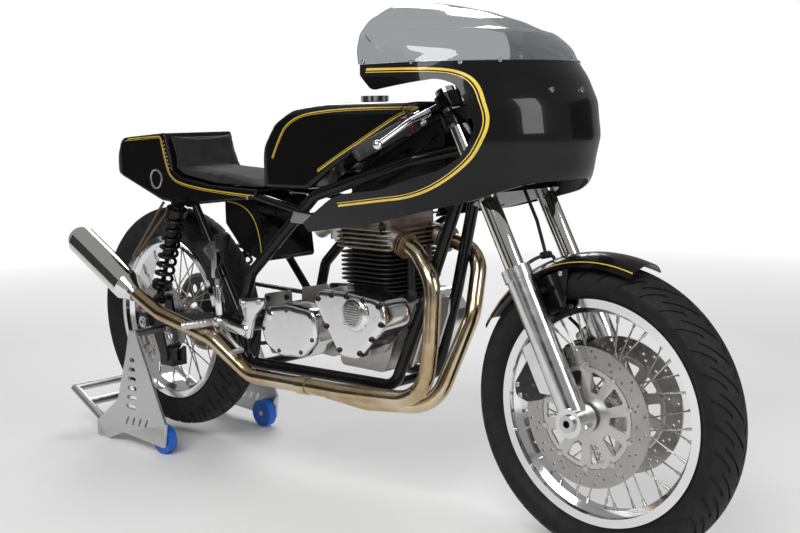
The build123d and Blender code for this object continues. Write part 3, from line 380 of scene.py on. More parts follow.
class Piece:
    """Shapes gathered in millimetres and made one object."""

    def __init__(self):
        self.shape = bmesh.new()

    def take(self, part, matrix=None):
        if matrix is not None:
            bmesh.ops.transform(part, matrix=matrix, verts=part.verts)
        return self.take_mesh(meshed("part", part))

    def take_mesh(self, mesh):
        self.shape.from_mesh(mesh)
        bpy.data.meshes.remove(mesh)
        return self

    def stood(self, part, base, way):
        """Takes a shape drawn about Z, stood at base along way."""
        turn = Vector(way).to_track_quat("Z", "Y").to_matrix().to_4x4()
        return self.take(part, Matrix.Translation(Vector(base)) @ turn)

    def rod(self, a, b, r, sides=24, ease=0.0):
        part = bmesh.new()
        a, b = Vector(a), Vector(b)
        bmesh.ops.create_cone(part, cap_ends=True, segments=sides, radius1=r, radius2=r, depth=(b - a).length)
        eased(part, ease)
        return self.stood(part, (a + b) / 2, b - a)

    def pin(self, place, half, r, sides=24, ease=0.0):
        """Rod that lies across, its middle at a place."""
        across = Vector((0, half, 0))
        return self.rod(place - across, place + across, r, sides, ease)

    def turned(self, rows, base, way=(0, 0, 1), sides=32):
        """Turns a profile of (radius, along) rows about way."""
        part = bmesh.new()
        verts = [part.verts.new((r, 0, z)) for r, z in rows]
        edges = [part.edges.new(pair) for pair in zip(verts, verts[1:])]
        bmesh.ops.spin(part, geom=verts + edges, cent=(0, 0, 0), axis=(0, 0, 1), angle=2 * pi, steps=sides,
                       use_merge=True)
        bmesh.ops.remove_doubles(part, verts=part.verts, dist=CLOSE)
        bmesh.ops.recalc_face_normals(part, faces=part.faces)
        return self.stood(part, base, way)

    def outline(self, rows, steps=5):
        """Flat face from (x, z, corner radius) rows, drawn in X and Y."""
        part = bmesh.new()
        verts = [part.verts.new((x, z, 0)) for x, z, r in rows]
        part.faces.new(verts)
        count = len(rows)
        places = [Vector((x, z)) for x, z, r in rows]
        for i, vert in enumerate(verts):
            r = rows[i][2]
            into = (places[i] - places[i - 1]).normalized()
            out = (places[(i + 1) % count] - places[i]).normalized()
            turn = into.angle(out)
            if r and turn > LEAST_TURN:
                bmesh.ops.bevel(part, geom=[vert], offset=r * tan(turn / 2), segments=steps, profile=0.5,
                                affect="VERTICES", material=-1)
        return part

    def prism(self, rows, low, high, ease, stand, steps=5):
        """Block from an outline drawn in X and Y, raised along Z and then stood up."""
        part = self.outline(rows, steps)
        raised(part, low, high - low)
        eased(part, ease)
        bmesh.ops.transform(part, matrix=stand, verts=part.verts)
        bmesh.ops.recalc_face_normals(part, faces=part.faces)
        return self.take(part)

    def slab(self, rows, y0, y1, ease=0.0, steps=5):
        """Plate drawn from the side in (x, z), between two places across."""
        return self.prism(rows, min(y0, y1), max(y0, y1), ease, FROM_SIDE, steps)

    def upright(self, rows, z0, z1, ease=0.0, steps=5):
        """Block drawn from above in (x, y)."""
        return self.prism(rows, z0, z1, ease, Matrix(), steps)

    def mesh(self):
        return meshed("shape", self.shape)

    def tube(self, points, r, bend=20.0, sides=3):
        """Round tube along straight runs with bends of one radius."""
        data = curve(r, sides)
        data.resolution_u = 6
        places = [Vector(p) for p in points]
        knots = [(places[0], places[0], places[0])]
        for before, corner, after in zip(places, places[1:], places[2:]):
            into, out = corner - before, after - corner
            turn = into.angle(out)
            if turn < 2 * LEAST_TURN:
                continue
            reach = min(bend * tan(turn / 2), BEND_SHARE * into.length, BEND_SHARE * out.length)
            pull = BEND_PULL * tan(turn / 4) * reach / tan(turn / 2)
            into.normalize()
            out.normalize()
            start, stop = corner - into * reach, corner + out * reach
            knots.append((start, start - into * pull, start + into * pull))
            knots.append((stop, stop - out * pull, stop + out * pull))
        knots.append((places[-1], places[-1], places[-1]))
        line = data.splines.new("BEZIER")
        line.bezier_points.add(len(knots) - 1)
        for knot, (place, left, right) in zip(line.bezier_points, knots):
            knot.co, knot.handle_left, knot.handle_right = place, left, right
        return self.take_curve(data)

    def wire(self, points, r, sides=2):
        """Smooth round wire that its points pull along."""
        data = curve(r, sides)
        line = data.splines.new("NURBS")
        line.points.add(len(points) - 1)
        for point, place in zip(line.points, points):
            point.co = (*place, 1)
        line.order_u = 3
        line.use_endpoint_u = True
        line.resolution_u = 8
        return self.take_curve(data)

    def take_curve(self, data):
        holder = bpy.data.objects.new("holder", data)
        mesh = bpy.data.meshes.new_from_object(holder)
        bpy.data.objects.remove(holder)
        bpy.data.curves.remove(data)
        return self.take_mesh(mesh)

    def bolt(self, base, way, r=4.5, h=4.0):
        """Socket screw head."""
        return self.turned([(0, h * 0.3), (r * 0.5, h * 0.3), (r * 0.55, h), (r * 0.85, h), (r, h * 0.8), (r, -1)],
                           base, way, 12)

    def nut(self, base, way, r=8.0, h=7.0):
        """Hexagon nut with the thread's end."""
        base, way = Vector(base), Vector(way).normalized()
        self.rod(base - way, base + way * h, r, sides=6, ease=r * 0.08)
        return self.rod(base, base + way * (h + 2.5), r * 0.5, sides=12, ease=0.6)

    def to_frame(self):
        """Brings the shape to the frame's metres."""
        bmesh.ops.translate(self.shape, vec=(SHIFT, 0, 0), verts=self.shape.verts)
        bmesh.ops.scale(self.shape, vec=(MM, MM, MM), verts=self.shape.verts)

    def back_to_mm(self):
        """Brings a shape in the frame's metres back to millimetres."""
        bmesh.ops.scale(self.shape, vec=(1 / MM, 1 / MM, 1 / MM), verts=self.shape.verts)
        bmesh.ops.translate(self.shape, vec=(-SHIFT, 0, 0), verts=self.shape.verts)

    def done(self, name, body, finish, slot, *replaced, sharp=35):
        self.to_frame()
        mesh = meshed(name, self.shape)
        mesh.materials.clear()
        mesh.materials.append(finish.material)
        mesh.shade_smooth()
        mesh.set_sharp_from_angle(angle=radians(sharp))
        made = placed(name, mesh)
        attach(made, body)
        if replaced:
            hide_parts(*replaced)
        return made


# Finishes of the added pieces
stripe_gold = Finish("stripe_gold", (0.66, 0.46, 0.05), rough=0.35, coat=0.6)
stripe_gold.tint(stripe_gold.noise(12, 3), [(0.3, (0.58, 0.39, 0.035)), (0.7, (0.74, 0.54, 0.08))])
zinc = satin_metal("zinc_screws", (0.55, 0.54, 0.52), (0.22, 0.36), size=500)
black_screws = satin_metal("black_screws", (0.05, 0.05, 0.05), (0.3, 0.45), size=500)
gold_union = satin_metal("gold_union", (0.80, 0.52, 0.14), (0.2, 0.3), size=400)
brown_steel = satin_metal("brown_steel", (0.22, 0.16, 0.11), (0.4, 0.6), size=300)
trim_rubber = rubber("trim_rubber", 0.008, (0.35, 0.5))
red_ring = Finish("red_ring", (0.45, 0.01, 0.01), rough=0.35)
red_ring.roughen(red_ring.noise(60, 4), 0.28, 0.45)
ribbed_alloy = satin_metal("ribbed_alloy", (0.56, 0.55, 0.54), (0.24, 0.4), size=420)

# Tank: what its side, front and top outlines share, the edges worked round
TANK_ROWS = [(-202, 767, 12), (-12, 767, 30), (90, 828, 40), (342, 952, 4), (342, 974, 6), (50, 974, 80),
             (-62, 960, 60), (-128, 926, 50), (-182, 858, 80)]
TANK_PLAN = [(-202, -140, 50), (-202, 140, 50), (300, 140, 40), (342, 98, 30), (342, -98, 30), (300, -140, 40)]
TANK_TUNNEL = [(22, 700, 2), (22, 806, 14), (300, 926, 14), (400, 934, 2), (400, 700, 2)]


def less(mesh, piece):
    """The mesh with a piece cut away."""
    return evaluated(mesh, [("BOOLEAN", {"operation": "DIFFERENCE"})], piece.mesh())


def common(mesh, *pieces):
    """What a mesh and all the pieces share."""
    for piece in pieces:
        mesh = evaluated(mesh, [("BOOLEAN", {"operation": "INTERSECT", "use_self": True})], piece.mesh())
    return mesh


def worked(mesh, voxel, rounds):
    """Carves a block smooth, as a panel beater does its edges."""
    return evaluated(mesh, [("REMESH", {"mode": "VOXEL", "voxel_size": voxel}),
                            ("SMOOTH", {"factor": 0.5, "iterations": rounds})])


front_view = Piece()
front_view.prism([(-140, 600, 0), (-140, 974.5, 40), (140, 974.5, 40), (140, 600, 0)], -500, 500, 0, FROM_FRONT)
tank = common(Piece().slab(TANK_ROWS, -141, 141).mesh(), front_view, Piece().upright(TANK_PLAN, 700, 1000))
tank = worked(tank, 4.0, 14)
tank = less(tank, Piece().slab(TANK_TUNNEL, -70, 70))
tank_piece = Piece().take_mesh(tank).done("tank_shell", "chassis", paint_black, "gloss_black", "fuel_tank", sharp=50)

# Seat unit: hump and side walls, hollow below
SEAT_ROWS = [(-898, 796, 16), (-651, 713, 60), (-530, 704, 60), (-240, 733, 6), (-224, 758, 4), (-420, 764, 60),
             (-560, 782, 60), (-596, 800, 14), (-626, 904, 4), (-836, 890, 30)]
SEAT_HOLLOW = [(-886, 797, 10), (-828, 880, 24), (-638, 895, 4), (-610, 800, 14), (-562, 779, 60), (-420, 759, 60),
               (-220, 753, 3), (-220, 690, 3), (-620, 690, 20)]


def seat_plan(inset, corner):
    half, back = 120 - inset, inset - 898
    return [(back, -half, corner), (back, half, corner), (-150, half, 10), (-150, -half, 10)]


seat = common(Piece().slab(SEAT_ROWS, -120, 120).mesh(), Piece().upright(seat_plan(0, 56), 690, 920))
seat = worked(seat, 3.5, 16)
hollow = common(Piece().slab(SEAT_HOLLOW, -115, 115).mesh(), Piece().upright(seat_plan(5, 51), 690, 920))
seat = less(seat, Piece().take_mesh(hollow))
seat_piece = Piece().take_mesh(seat).done("seat_shell", "chassis", paint_black, "gloss_black", "seat_unit", sharp=50)

# Half fairing and screen: rows of (height, nose tip, half width, where the nose meets the straight sides)
FAIRING_SECTIONS = [(640, 560, 205, 360), (760, 640, 255, 400), (850, 668, 276, 425), (930, 672, 280, 430),
                    (1000, 652, 275, 420), (1052, 622, 262, 400)]
SCREEN_SECTIONS = [(1052, 622, 262, 400), (1096, 590, 264, 350), (1130, 520, 248, 300), (1160, 440, 212, 260),
                   (1182, 357, 185, 205), (1196, 290, 120, 140)]
FAIRING_ROWS = [(74, 698, 5), (80, 676, 8), (324, 712, 300), (553, 765, 200), (640, 800, 60), (760, 812, 2),
                (760, 1051.7, 1), (305, 1051.7, 1), (311, 1029, 12), (352, 996, 26), (512, 1017, 60), (548, 1002, 40),
                (574, 952, 40), (584, 911, 50), (563, 861, 60), (517, 831, 80), (356, 786, 200), (213, 771, 200)]
SCREEN_ROWS = [(760, 1052, 1), (300, 1052, 1), (302, 1085, 40), (318, 1215, 1), (760, 1215, 1)]
NOSE_STEPS = 72
SHELL_WALL = 3.0
SIDE_SHARE = 0.02


def skin(sections, back, wall):
    """Shell through D-shaped sections, open behind and at both ends."""
    part = bmesh.new()
    loops = []
    for z, nose, half, mid in sections:
        made = bmesh.ops.create_circle(part, cap_ends=False, segments=NOSE_STEPS, radius=1.0)
        for vert in made["verts"]:
            x, y = vert.co.x, vert.co.y
            if x >= -CLOSE:
                vert.co = (mid + (nose - mid) * max(x, 0.0), half * y, z)
            else:
                share = 1 - abs(y)
                vert.co = (mid - (mid - back) * max(share, SIDE_SHARE), half if y > 0 else -half, z)
        ring = list(dict.fromkeys(e for v in made["verts"] for e in v.link_edges))
        rear = max(ring, key=lambda e: abs(e.verts[0].co.y - e.verts[1].co.y))
        ring.remove(rear)
        bmesh.ops.delete(part, geom=[rear], context="EDGES")
        loops.append(ring)
    for low, high in zip(loops, loops[1:]):
        bmesh.ops.bridge_loops(part, edges=low + high)
    rising = [e for e in part.edges if abs(e.verts[0].co.z - e.verts[1].co.z) > 1]
    bmesh.ops.subdivide_edges(part, edges=rising, cuts=5, smooth=1.0, use_grid_fill=True)
    bmesh.ops.recalc_face_normals(part, faces=part.faces)
    return evaluated(meshed("skin", part), [("SOLIDIFY", {"thickness": wall, "offset": -1.0})])


shell = common(skin(FAIRING_SECTIONS, 60, SHELL_WALL), Piece().slab(FAIRING_ROWS, -400, 400, steps=8))
fairing_piece = Piece().take_mesh(shell).done("fairing_shell", "chassis", paint_black, "gloss_black", "fairing")
bubble = common(skin(SCREEN_SECTIONS, 40, SHELL_WALL), Piece().slab(SCREEN_ROWS, -400, 400, steps=8))
Piece().take_mesh(bubble).done("screen_bubble", "chassis", screen_smoke, "smoked_screen", "screen")


# Stripes laid on a panel: a wire drawn from the side, pressed onto the surface
STRIPE_LIFT = 0.0004
RAY_FROM = 0.6


def panel(piece):
    """A piece's surface, for rays to meet."""
    shape = bmesh.new()
    shape.from_mesh(piece.data)
    tree = BVHTree.FromBMesh(shape)
    shape.free()
    return tree


def met(tree, x, z, s):
    """Where a ray from side s meets a surface at x, z in metres, or None."""
    return tree.ray_cast(Vector((x, s * RAY_FROM, z)), Vector((0, -s, 0)))[0]


def press(mesh, target, s):
    """Lays a mesh's points on a panel, seen from side s, its outer half a little proud; what misses is cut off."""
    tree = panel(target)
    work = bmesh.new()
    work.from_mesh(mesh)
    missed = []
    for vert in work.verts:
        place = met(tree, vert.co.x, vert.co.z, s)
        proud = STRIPE_LIFT if vert.co.y * s > 0 else -STRIPE_LIFT
        if place is None:
            missed.append(vert)
        else:
            vert.co.y = place.y + s * proud
    if missed:
        bmesh.ops.delete(work, geom=missed, context="VERTS")
        bmesh.ops.holes_fill(work, edges=work.edges, sides=0)
    work.to_mesh(mesh)
    work.free()


def beside(points, gap):
    """The line beside a line of (x, z), on its left."""
    places = [Vector(p) for p in points]
    made = []
    for i, place in enumerate(places):
        way = (places[min(i + 1, len(places) - 1)] - places[max(i - 1, 0)]).normalized()
        made.append((place.x - way.y * gap, place.y + way.x * gap))
    return made


def stripes(name, target, lines, body="chassis"):
    """Lines of (width, [(x, z), ...]) on both sides of a panel."""
    both = Piece()
    for s in SIDES:
        for width, points in lines:
            line = Piece().wire([(x, 0, z) for x, z in points], width / 2, sides=1)
            line.to_frame()
            mesh = line.mesh()
            press(mesh, target, s)
            both.take_mesh(mesh)
    bmesh.ops.recalc_face_normals(both.shape, faces=both.shape.faces)
    both.back_to_mm()
    both.done(name, body, stripe_gold, "gloss_black")


BROAD = beside([(214, 747), (351.5, 764.5), (439, 774.5), (510, 800.5), (563, 842), (590, 881.5), (601, 921),
                (596, 961), (574, 1007), (548, 1026), (511, 1034.5), (426, 1037), (327, 1039)], -1.5)
stripes("fairing_stripes", fairing_piece, [(5.6, BROAD), (1.8, beside(BROAD, 6.0))])
TANK_LINE = [(30, 812), (80, 838), (126, 860), (242, 915), (328, 956), (332, 960), (322, 961), (130, 961), (-9, 952),
             (-64, 934), (-103, 904), (-137, 842)]
stripes("tank_stripes", tank_piece, [(3.0, TANK_LINE), (1.2, beside(TANK_LINE, 4.4))])
stripes("panel_stripes", node["oil_tank"], [(2.4, [(-391, 719), (-306, 717), (-250, 627), (-256, 560)])])
SEAT_LINE = [(-836, 884), (-656, 895), (-640, 893), (-636, 880), (-616, 812), (-600, 784), (-560, 765), (-420, 749),
             (-240, 742)]
stripes("seat_stripes", seat_piece, [(3.0, SEAT_LINE), (1.3, beside(SEAT_LINE, -4.6))])

# Tyres: the section is spun, its crown cut with leaning grooves
FRONT_SECTION = [(317, 0), (316.6, 7), (315.4, 14), (313.4, 21), (310.4, 28.5), (306, 36), (300.6, 43), (293.8, 50),
                 (285.3, 55.8), (277.5, 54.6), (269, 51.8), (264, 49.4), (263, 49.8), (261.6, 48.9), (252, 39.5),
                 (247, 33), (244.6, 29.6), (229.2, 29.4)]
REAR_SECTION = [(328.4, 0), (327.9, 9), (326.5, 18), (324.1, 27), (320.5, 36), (315.7, 45), (309.4, 54), (302, 62),
                (292.6, 69.8), (284, 69), (274.6, 65.8), (268, 62.4), (267, 62.8), (265.4, 61.6), (255, 51.5),
                (248, 45), (244.6, 41.6), (229.2, 41.4)]
TYRE_STEPS = 144
GROOVE_EVERY = 4
GROOVE_SHARE = 0.72
GROOVE_LEAN = 0.26
GROOVE_DEPTH = 3.2
LONG_GROOVE = (0.05, 0.72)
SHORT_GROOVE = (0.55, 0.95)
SHOULDER = 8


def tyre(name, axle, section, body, replaced):
    part = bmesh.new()
    rows = [(r, -y) for r, y in reversed(section[1:])] + section
    verts = [part.verts.new((r, y, 0)) for r, y in rows]
    edges = [part.edges.new(pair) for pair in zip(verts, verts[1:])]
    edges.append(part.edges.new((verts[-1], verts[0])))
    bmesh.ops.spin(part, geom=verts + edges, cent=(0, 0, 0), axis=(0, 1, 0), angle=2 * pi, steps=TYRE_STEPS,
                   use_merge=True)
    bmesh.ops.recalc_face_normals(part, faces=part.faces)
    shoulder_r, half = section[SHOULDER]
    step = 2 * pi / TYRE_STEPS
    cut = []
    for face in part.faces:
        middle = face.calc_center_median()
        across = abs(middle.y) / half
        column = int(((atan2(middle.z, middle.x) + 2 * pi) % (2 * pi)) / step)
        on_left = middle.y > 0
        phase = column % GROOVE_EVERY
        if middle.xz.length < shoulder_r:
            continue
        long_cut = phase == (0 if on_left else 2) and LONG_GROOVE[0] < across < LONG_GROOVE[1]
        short_cut = phase == (2 if on_left else 0) and SHORT_GROOVE[0] < across < SHORT_GROOVE[1]
        if long_cut or short_cut:
            cut.append(face)
    for vert in part.verts:
        turn = (atan2(vert.co.z, vert.co.x) + 2 * pi) % (2 * pi)
        column = round(turn / step)
        narrow = (GROOVE_SHARE - 1) * step if column % 2 else 0.0
        narrow += GROOVE_LEAN * min(abs(vert.co.y) / half, 1.0)
        vert.co = Matrix.Rotation(-narrow, 3, "Y") @ vert.co
    bmesh.ops.inset_region(part, faces=cut, use_boundary=True, use_even_offset=True, thickness=0.5,
                           depth=-GROOVE_DEPTH)
    piece = Piece().take(part, Matrix.Translation(axle))
    piece.done(name, body, tyre_black, "tyre_rubber", replaced, sharp=30)


tyre("front_tyre_treaded", FRONT, FRONT_SECTION, "front_wheel", "front_tyre")
tyre("rear_tyre_treaded", REAR, REAR_SECTION, "rear_wheel", "rear_tyre")

# Drive chain: alternate inner and outer links round the two sprockets
CHAIN_PITCH = 15.875
CHAIN_Y = 84.0
PLATE_R = 5.6
PLATE_T = 1.5
OUTER_PLATE = 5.2
INNER_PLATE = 3.6
WAIST = 0.75
BIG = (-750.0, 354.4, 113.8)
SMALL = (-72.0, 411.0, 44.0)


def chain_places():
    """Even places along the loop round both sprockets, each with its direction."""
    line = Vector((SMALL[0] - BIG[0], SMALL[1] - BIG[1]))
    lean = atan2(line.y, line.x)
    open_by = acos((BIG[2] - SMALL[2]) / line.length)
    run = line.length * sin(open_by)
    legs = [("arc", BIG, lean + open_by, 2 * pi - 2 * open_by), ("run", BIG, lean - open_by, run),
            ("arc", SMALL, lean - open_by, 2 * open_by), ("run", SMALL, lean + open_by, run)]
    total = BIG[2] * (2 * pi - 2 * open_by) + SMALL[2] * 2 * open_by + 2 * run
    count = int(total / CHAIN_PITCH / 2) * 2
    for i in range(count):
        left = total * i / count
        for kind, (x, z, r), angle, span in legs:
            size = span * r if kind == "arc" else span
            if left > size:
                left -= size
                continue
            if kind == "arc":
                angle += left / r
                yield Vector((x + r * cos(angle), CHAIN_Y, z + r * sin(angle))), angle + pi / 2
            else:
                way = angle + pi / 2
                yield Vector((x + r * cos(angle) + left * cos(way), CHAIN_Y,
                              z + r * sin(angle) + left * sin(way))), way
            break


chain = Piece()
for i, (place, way) in enumerate(chain_places()):
    pose = Matrix.Translation(place) @ Matrix.Rotation(-way, 4, "Y")
    out = OUTER_PLATE if i % 2 else INNER_PLATE
    for s in SIDES:
        plate = bmesh.new()
        bmesh.ops.create_circle(plate, cap_ends=True, segments=10, radius=PLATE_R)
        for vert in plate.verts:
            vert.co.x += CHAIN_PITCH / 2 * (1 if vert.co.x > 0.1 else -1)
            if abs(vert.co.x) < CHAIN_PITCH / 2 - 1:
                vert.co.y *= WAIST
        raised(plate, s * out - PLATE_T / 2, PLATE_T)
        bmesh.ops.transform(plate, matrix=pose @ FROM_SIDE, verts=plate.verts)
        bmesh.ops.recalc_face_normals(plate, faces=plate.faces)
        chain.take(plate)
    pin_at = place + Vector((cos(way), 0, sin(way))) * CHAIN_PITCH / 2
    for half, r in ((6.6, 2.4), (3.0, 4.8)):
        chain.pin(pin_at, half, r, 8)
chain.done("chain_links", "chassis", chain_steel, "chain_steel", "drive_chain")

# Engine: barrel and head with their fins, rocker boxes, ports, plugs and carburettors
BARREL_X = 135.0
FIN_T = 3.2
FIN_PITCH = 10.9


def oblong(x, length, width, corner):
    """Outline from above, its middle at x on the centre plane."""
    return [(x + length / 2 * i, width / 2 * j, corner) for i, j in ((-1, -1), (-1, 1), (1, 1), (1, -1))]


def port(reach, s):
    """Place on an exhaust port's line, by its distance ahead of the barrel's middle."""
    ahead = reach - 104.0
    return (BARREL_X + reach, s * (74.0 + ahead * 0.09), 648.0 - ahead * 0.276)


barrel = Piece().upright(oblong(BARREL_X, 120, 156, 10), 505, 626)
for i in range(10):
    z = 517 + i * FIN_PITCH
    width = 172 if z < 540 else 206
    barrel.upright(oblong(BARREL_X, 176, width, 30), z, z + FIN_T, ease=0.9)
for s in SIDES:
    barrel.rod((228, s * 30, 508), (226, s * 30, 630), 10)
    barrel.turned([(0, 0), (13, 0), (13, 18), (10, 24), (0, 24)], (228, s * 30, 505))
    for x in (72, 198):
        barrel.nut((x, s * 80, 507), (0, 0, 1), 7, 7)
barrel.done("barrel_finned", "chassis", fin_black, "black_fins", "cylinder_block")
head = Piece().upright(oblong(BARREL_X, 146, 166, 12), 624, 694)
for i in range(5):
    head.upright(oblong(BARREL_X, 192, 212, 26), 630 + i * FIN_PITCH, 630 + i * FIN_PITCH + FIN_T, ease=0.9)
for s in SIDES:
    head.rod(port(50, s), port(104, s), 27, ease=1.5)
    head.rod((BARREL_X, s * 52, 672), (BARREL_X - 96, s * 52, 672), 22, ease=1.5)
    for x in (-44, 44):
        head.turned([(0, 0), (15, 0), (17, 2), (17, 9), (14, 12), (5, 12), (5, 10), (0, 10)],
                    (BARREL_X + x, s * 50, 722), sides=16)
        head.bolt((BARREL_X + x, s * 86, 722), (0, 0, 1), 6, 7)
    head.bolt((BARREL_X, s * 92, 692), (0, 0, 1), 7, 9)
for x in (-44, 44):
    head.upright(oblong(BARREL_X + x, 54, 172, 14), 682, 724, ease=6)
head.done("head_finned", "chassis", head_alloy, "brushed_alloy", "cylinder_head")
plugs = Piece()
for s in SIDES:
    base, way = Vector((196, s * 92, 672)), Vector((0.55, s * 0.62, 0.55)).normalized()
    plugs.rod(base, base + way * 34, 8)
    plugs.wire([base + way * 30, base + way * 60, base + way * 60 + Vector((-60, -s * 20, 40)), (60, s * 60, 738),
                (20, s * 40, 742)], 3.6)
plugs.done("plug_leads", "chassis", trim_rubber, "grip_rubber")
carbs = Piece()
for s in SIDES:
    y, x = s * 52, 38.7
    carbs.rod((x, y, 672), (x - 66, y, 672), 21, ease=2)
    carbs.rod((x - 34, y, 640), (x - 34, y, 724), 20, ease=2)
    carbs.rod((x - 34, y, 724), (x - 34, y, 732), 14, ease=2)
    carbs.turned([(16, 0), (21, 0), (24, 14), (32, 24), (33.5, 27), (31, 27), (22, 15), (16, 4), (16, 0)],
                 (x - 64, y, 672), (-1, 0, 0))
    carbs.nut((x - 34, y, 641), (0, 0, -1), 10, 7)
    carbs.turned([(0, 0), (24, 0), (24, 5), (0, 5)], (x, y, 672), (-1, 0, 0))
carbs.done("carburettor_pair", "chassis", alloy_cast, "brushed_alloy", "carburettors")

# Timing cover with its ribbed points cap, gearbox cover, and the screws round both
TIMING_ROWS = [(44, 503, 14), (60, 532, 14), (160, 536, 60), (272, 526, 28), (284, 470, 30), (190, 378, 28),
               (130, 378, 28)]
GEAR_ROWS = [(-178, 412, 30), (-150, 470, 30), (-70, 482, 60), (30, 474, 26), (36, 400, 40), (-20, 350, 40),
             (-110, 344, 40), (-160, 366, 30)]
timing = Piece().take_mesh(worked(Piece().slab(TIMING_ROWS, -180, -88, steps=8).mesh(), 3.0, 22))
timing.turned([(42, 0), (42, 4), (38, 10), (34, 12), (0, 12)], (190, -178, 487), (0, -1, 0), 48)
timing.done("timing_case", "chassis", alloy_polished, "polished_alloy", "timing_cover")
gear = Piece().take_mesh(worked(Piece().slab(GEAR_ROWS, -166, -88.3, steps=8).mesh(), 3.5, 45))
gear.turned([(0, 0), (13, 0), (13, 3), (9, 4), (0, 4)], (-136, -164, 445), (0, -1, 0))
gear.done("gear_case", "chassis", alloy_polished, "polished_alloy", "gearbox_cover")
cap = Piece()
cap.turned([(0, 12), (30, 12), (30, 14), (26, 15.5), (0, 15.5)], (190, -178, 487), (0, -1, 0), 48)
for k in range(-4, 5):
    half = (25.5 ** 2 - (k * 5.6) ** 2) ** 0.5
    cap.rod((190 - half, -194, 487 + k * 5.6), (190 + half, -194, 487 + k * 5.6), 1.6, sides=8)
for k in (0, 180):
    cap.bolt(about((190, 0, 487), 33, 40 + k, -190), (0, -1, 0), 4, 3)
cap.done("points_cap", "chassis", ribbed_alloy, "polished_alloy")
screws = Piece()
for x, z in ((63, 511), (110, 524), (160, 526), (214, 521), (264, 513), (271, 472), (240, 434), (200, 396),
             (133, 396), (90, 448)):
    screws.turned([(8, -6), (8, 1), (7, 2), (0, 2)], (x, -178, z), (0, -1, 0), 12)
    screws.bolt((x, -180, z), (0, -1, 0), 5.5, 5)
for x, z in ((-162, 410), (-140, 458), (-72, 466), (16, 460), (20, 402), (-22, 366), (-104, 360)):
    screws.bolt((x, -163, z), (0, -1, 0), 5.5, 5)
for k in range(7):
    screws.bolt(about((165, 0, 426), 74, -100 + k * 33, 162), (0, 1, 0), 5.5, 5)
    screws.bolt(about((-72, 0, 411), 80, 80 + k * 33, 162), (0, 1, 0), 5.5, 5)
for x, z, y in ((265, 497, 42), (236, 440, 42), (228, 380, 42), (222, 345, 42), (-160, 480, 84), (-165, 345, 84),
                (-220, 340, 84), (-236, 470, 84)):
    screws.nut((x, -y, z), (0, -1, 0), 8, 6)
    screws.nut((x, y if y < 50 else 56, z), (0, 1, 0), 8, 6)
screws.done("cover_screws", "chassis", black_screws, "dark_metal")

# Exhaust pipes with finned collars, and stays to the silencer
NEAR_PIPE = [port(104.3, -1), port(156, -1), (357, -96, 565), (354, -104, 430), (342, -110, 330), (290, -116, 287),
             (100, -150, 283), (-215, -172, 280), (-345, -192, 366), (-560, -203, 410), (-700, -205, 468)]
FAR_PIPE = [port(104.3, 1), port(215, 1), (378, 18, 480), (318, -52, 262), (160, -118, 260), (60, -152, 280)]
pipes = Piece().tube(NEAR_PIPE, 20, 95, 6).tube(FAR_PIPE, 19.6, 90, 6)
pipes.rod((-5, -158, 281.5), (-35, -160, 281), 22.5)
pipes.done("header_pipes", "chassis", header_steel, "straw_steel", "exhaust_headers")
collars = Piece()
for s in SIDES:
    for ahead in (5, 13, 21):
        collars.rod(port(104 + ahead, s), port(108 + ahead, s), 31, sides=32, ease=1)
for a, b in (((-653, -110, 708), (-749, -158, 550)), ((-620, -110, 696), (-739, -158, 549))):
    collars.rod(a, b, 4)
collars.done("collars_and_stays", "chassis", brown_steel, "dark_metal")


def on_side(piece, x, z, s):
    """The point of a panel's outside at x, z, seen from side s."""
    return Vector((x, met(panel(piece), (x + SHIFT) * MM, z * MM, s).y / MM, z))


# Front calipers with pads' slot, bridges and bolts, their unions and hoses
CALIPER_ROWS = [(-98, -30, 8), (-98, 30, 8), (-122, 54, 10), (-150, 60, 10), (-168, 40, 12), (-168, -40, 12),
                (-150, -60, 10), (-122, -54, 10)]
PISTON_CAP = [(18, -2), (18, 1), (15, 3), (13, 1), (0, 1)]
DISC_Y = 65.0
CALIPER_TURN = Matrix.Translation(FRONT) @ Matrix.Rotation(radians(31), 4, "Y")
calipers = Piece()
for s in SIDES:
    for low, high in ((DISC_Y - 31, DISC_Y - 6), (DISC_Y + 6, DISC_Y + 31)):
        calipers.slab(CALIPER_ROWS, s * low, s * high, 3)
    for side in SIDES:
        rows = [(-156, side * 24, 4), (-169, side * 24, 4), (-165, side * 50, 4), (-156, side * 56, 4)]
        calipers.slab(rows, s * (DISC_Y - 8), s * (DISC_Y + 8))
    for z in (-25, 25):
        for side in (1, -1):
            calipers.turned(PISTON_CAP, (-126, s * (DISC_Y + side * 31), z), (0, side * s, 0), 24)
bmesh.ops.transform(calipers.shape, matrix=CALIPER_TURN, verts=calipers.shape.verts)
calipers.done("caliper_pair", "fork", dark_grey, "dark_metal", "front_calipers")
caliper_bolts = Piece()
unions = Piece()
hoses = Piece()
UNION = at_leg(354, 12)
for s in SIDES:
    for x, z in ((-158, 34), (-158, -34), (-140, 50), (-140, -50)):
        caliper_bolts.bolt((x, s * (DISC_Y + 31), z), (0, s, 0), 6, 5)
    place = about(FRONT, 158, 131, s * (DISC_Y + 15))
    unions.pin(place, 9, 9, 16, 1)
    unions.rod(place, place + Vector((-4, 0, 14)), 5, sides=12)
    hoses.wire([UNION, at_leg(354, 4, s * 46), at_leg(322, -42, s * 76), at_leg(236, -62, s * 80),
                place + Vector((-5, 0, 30)), place + Vector((-3, 0, 10))], 4)
bmesh.ops.transform(caliper_bolts.shape, matrix=CALIPER_TURN, verts=caliper_bolts.shape.verts)
caliper_bolts.done("caliper_bolts", "fork", zinc, "stainless")
unions.done("banjo_unions", "fork", gold_union, "stainless")
hoses.tube([at_leg(499.7, 24), at_leg(430, 24), UNION], 4)
hoses.pin(UNION, 13, 8)
hoses.done("brake_hose_set", "fork", hose_rubber, "grip_rubber")

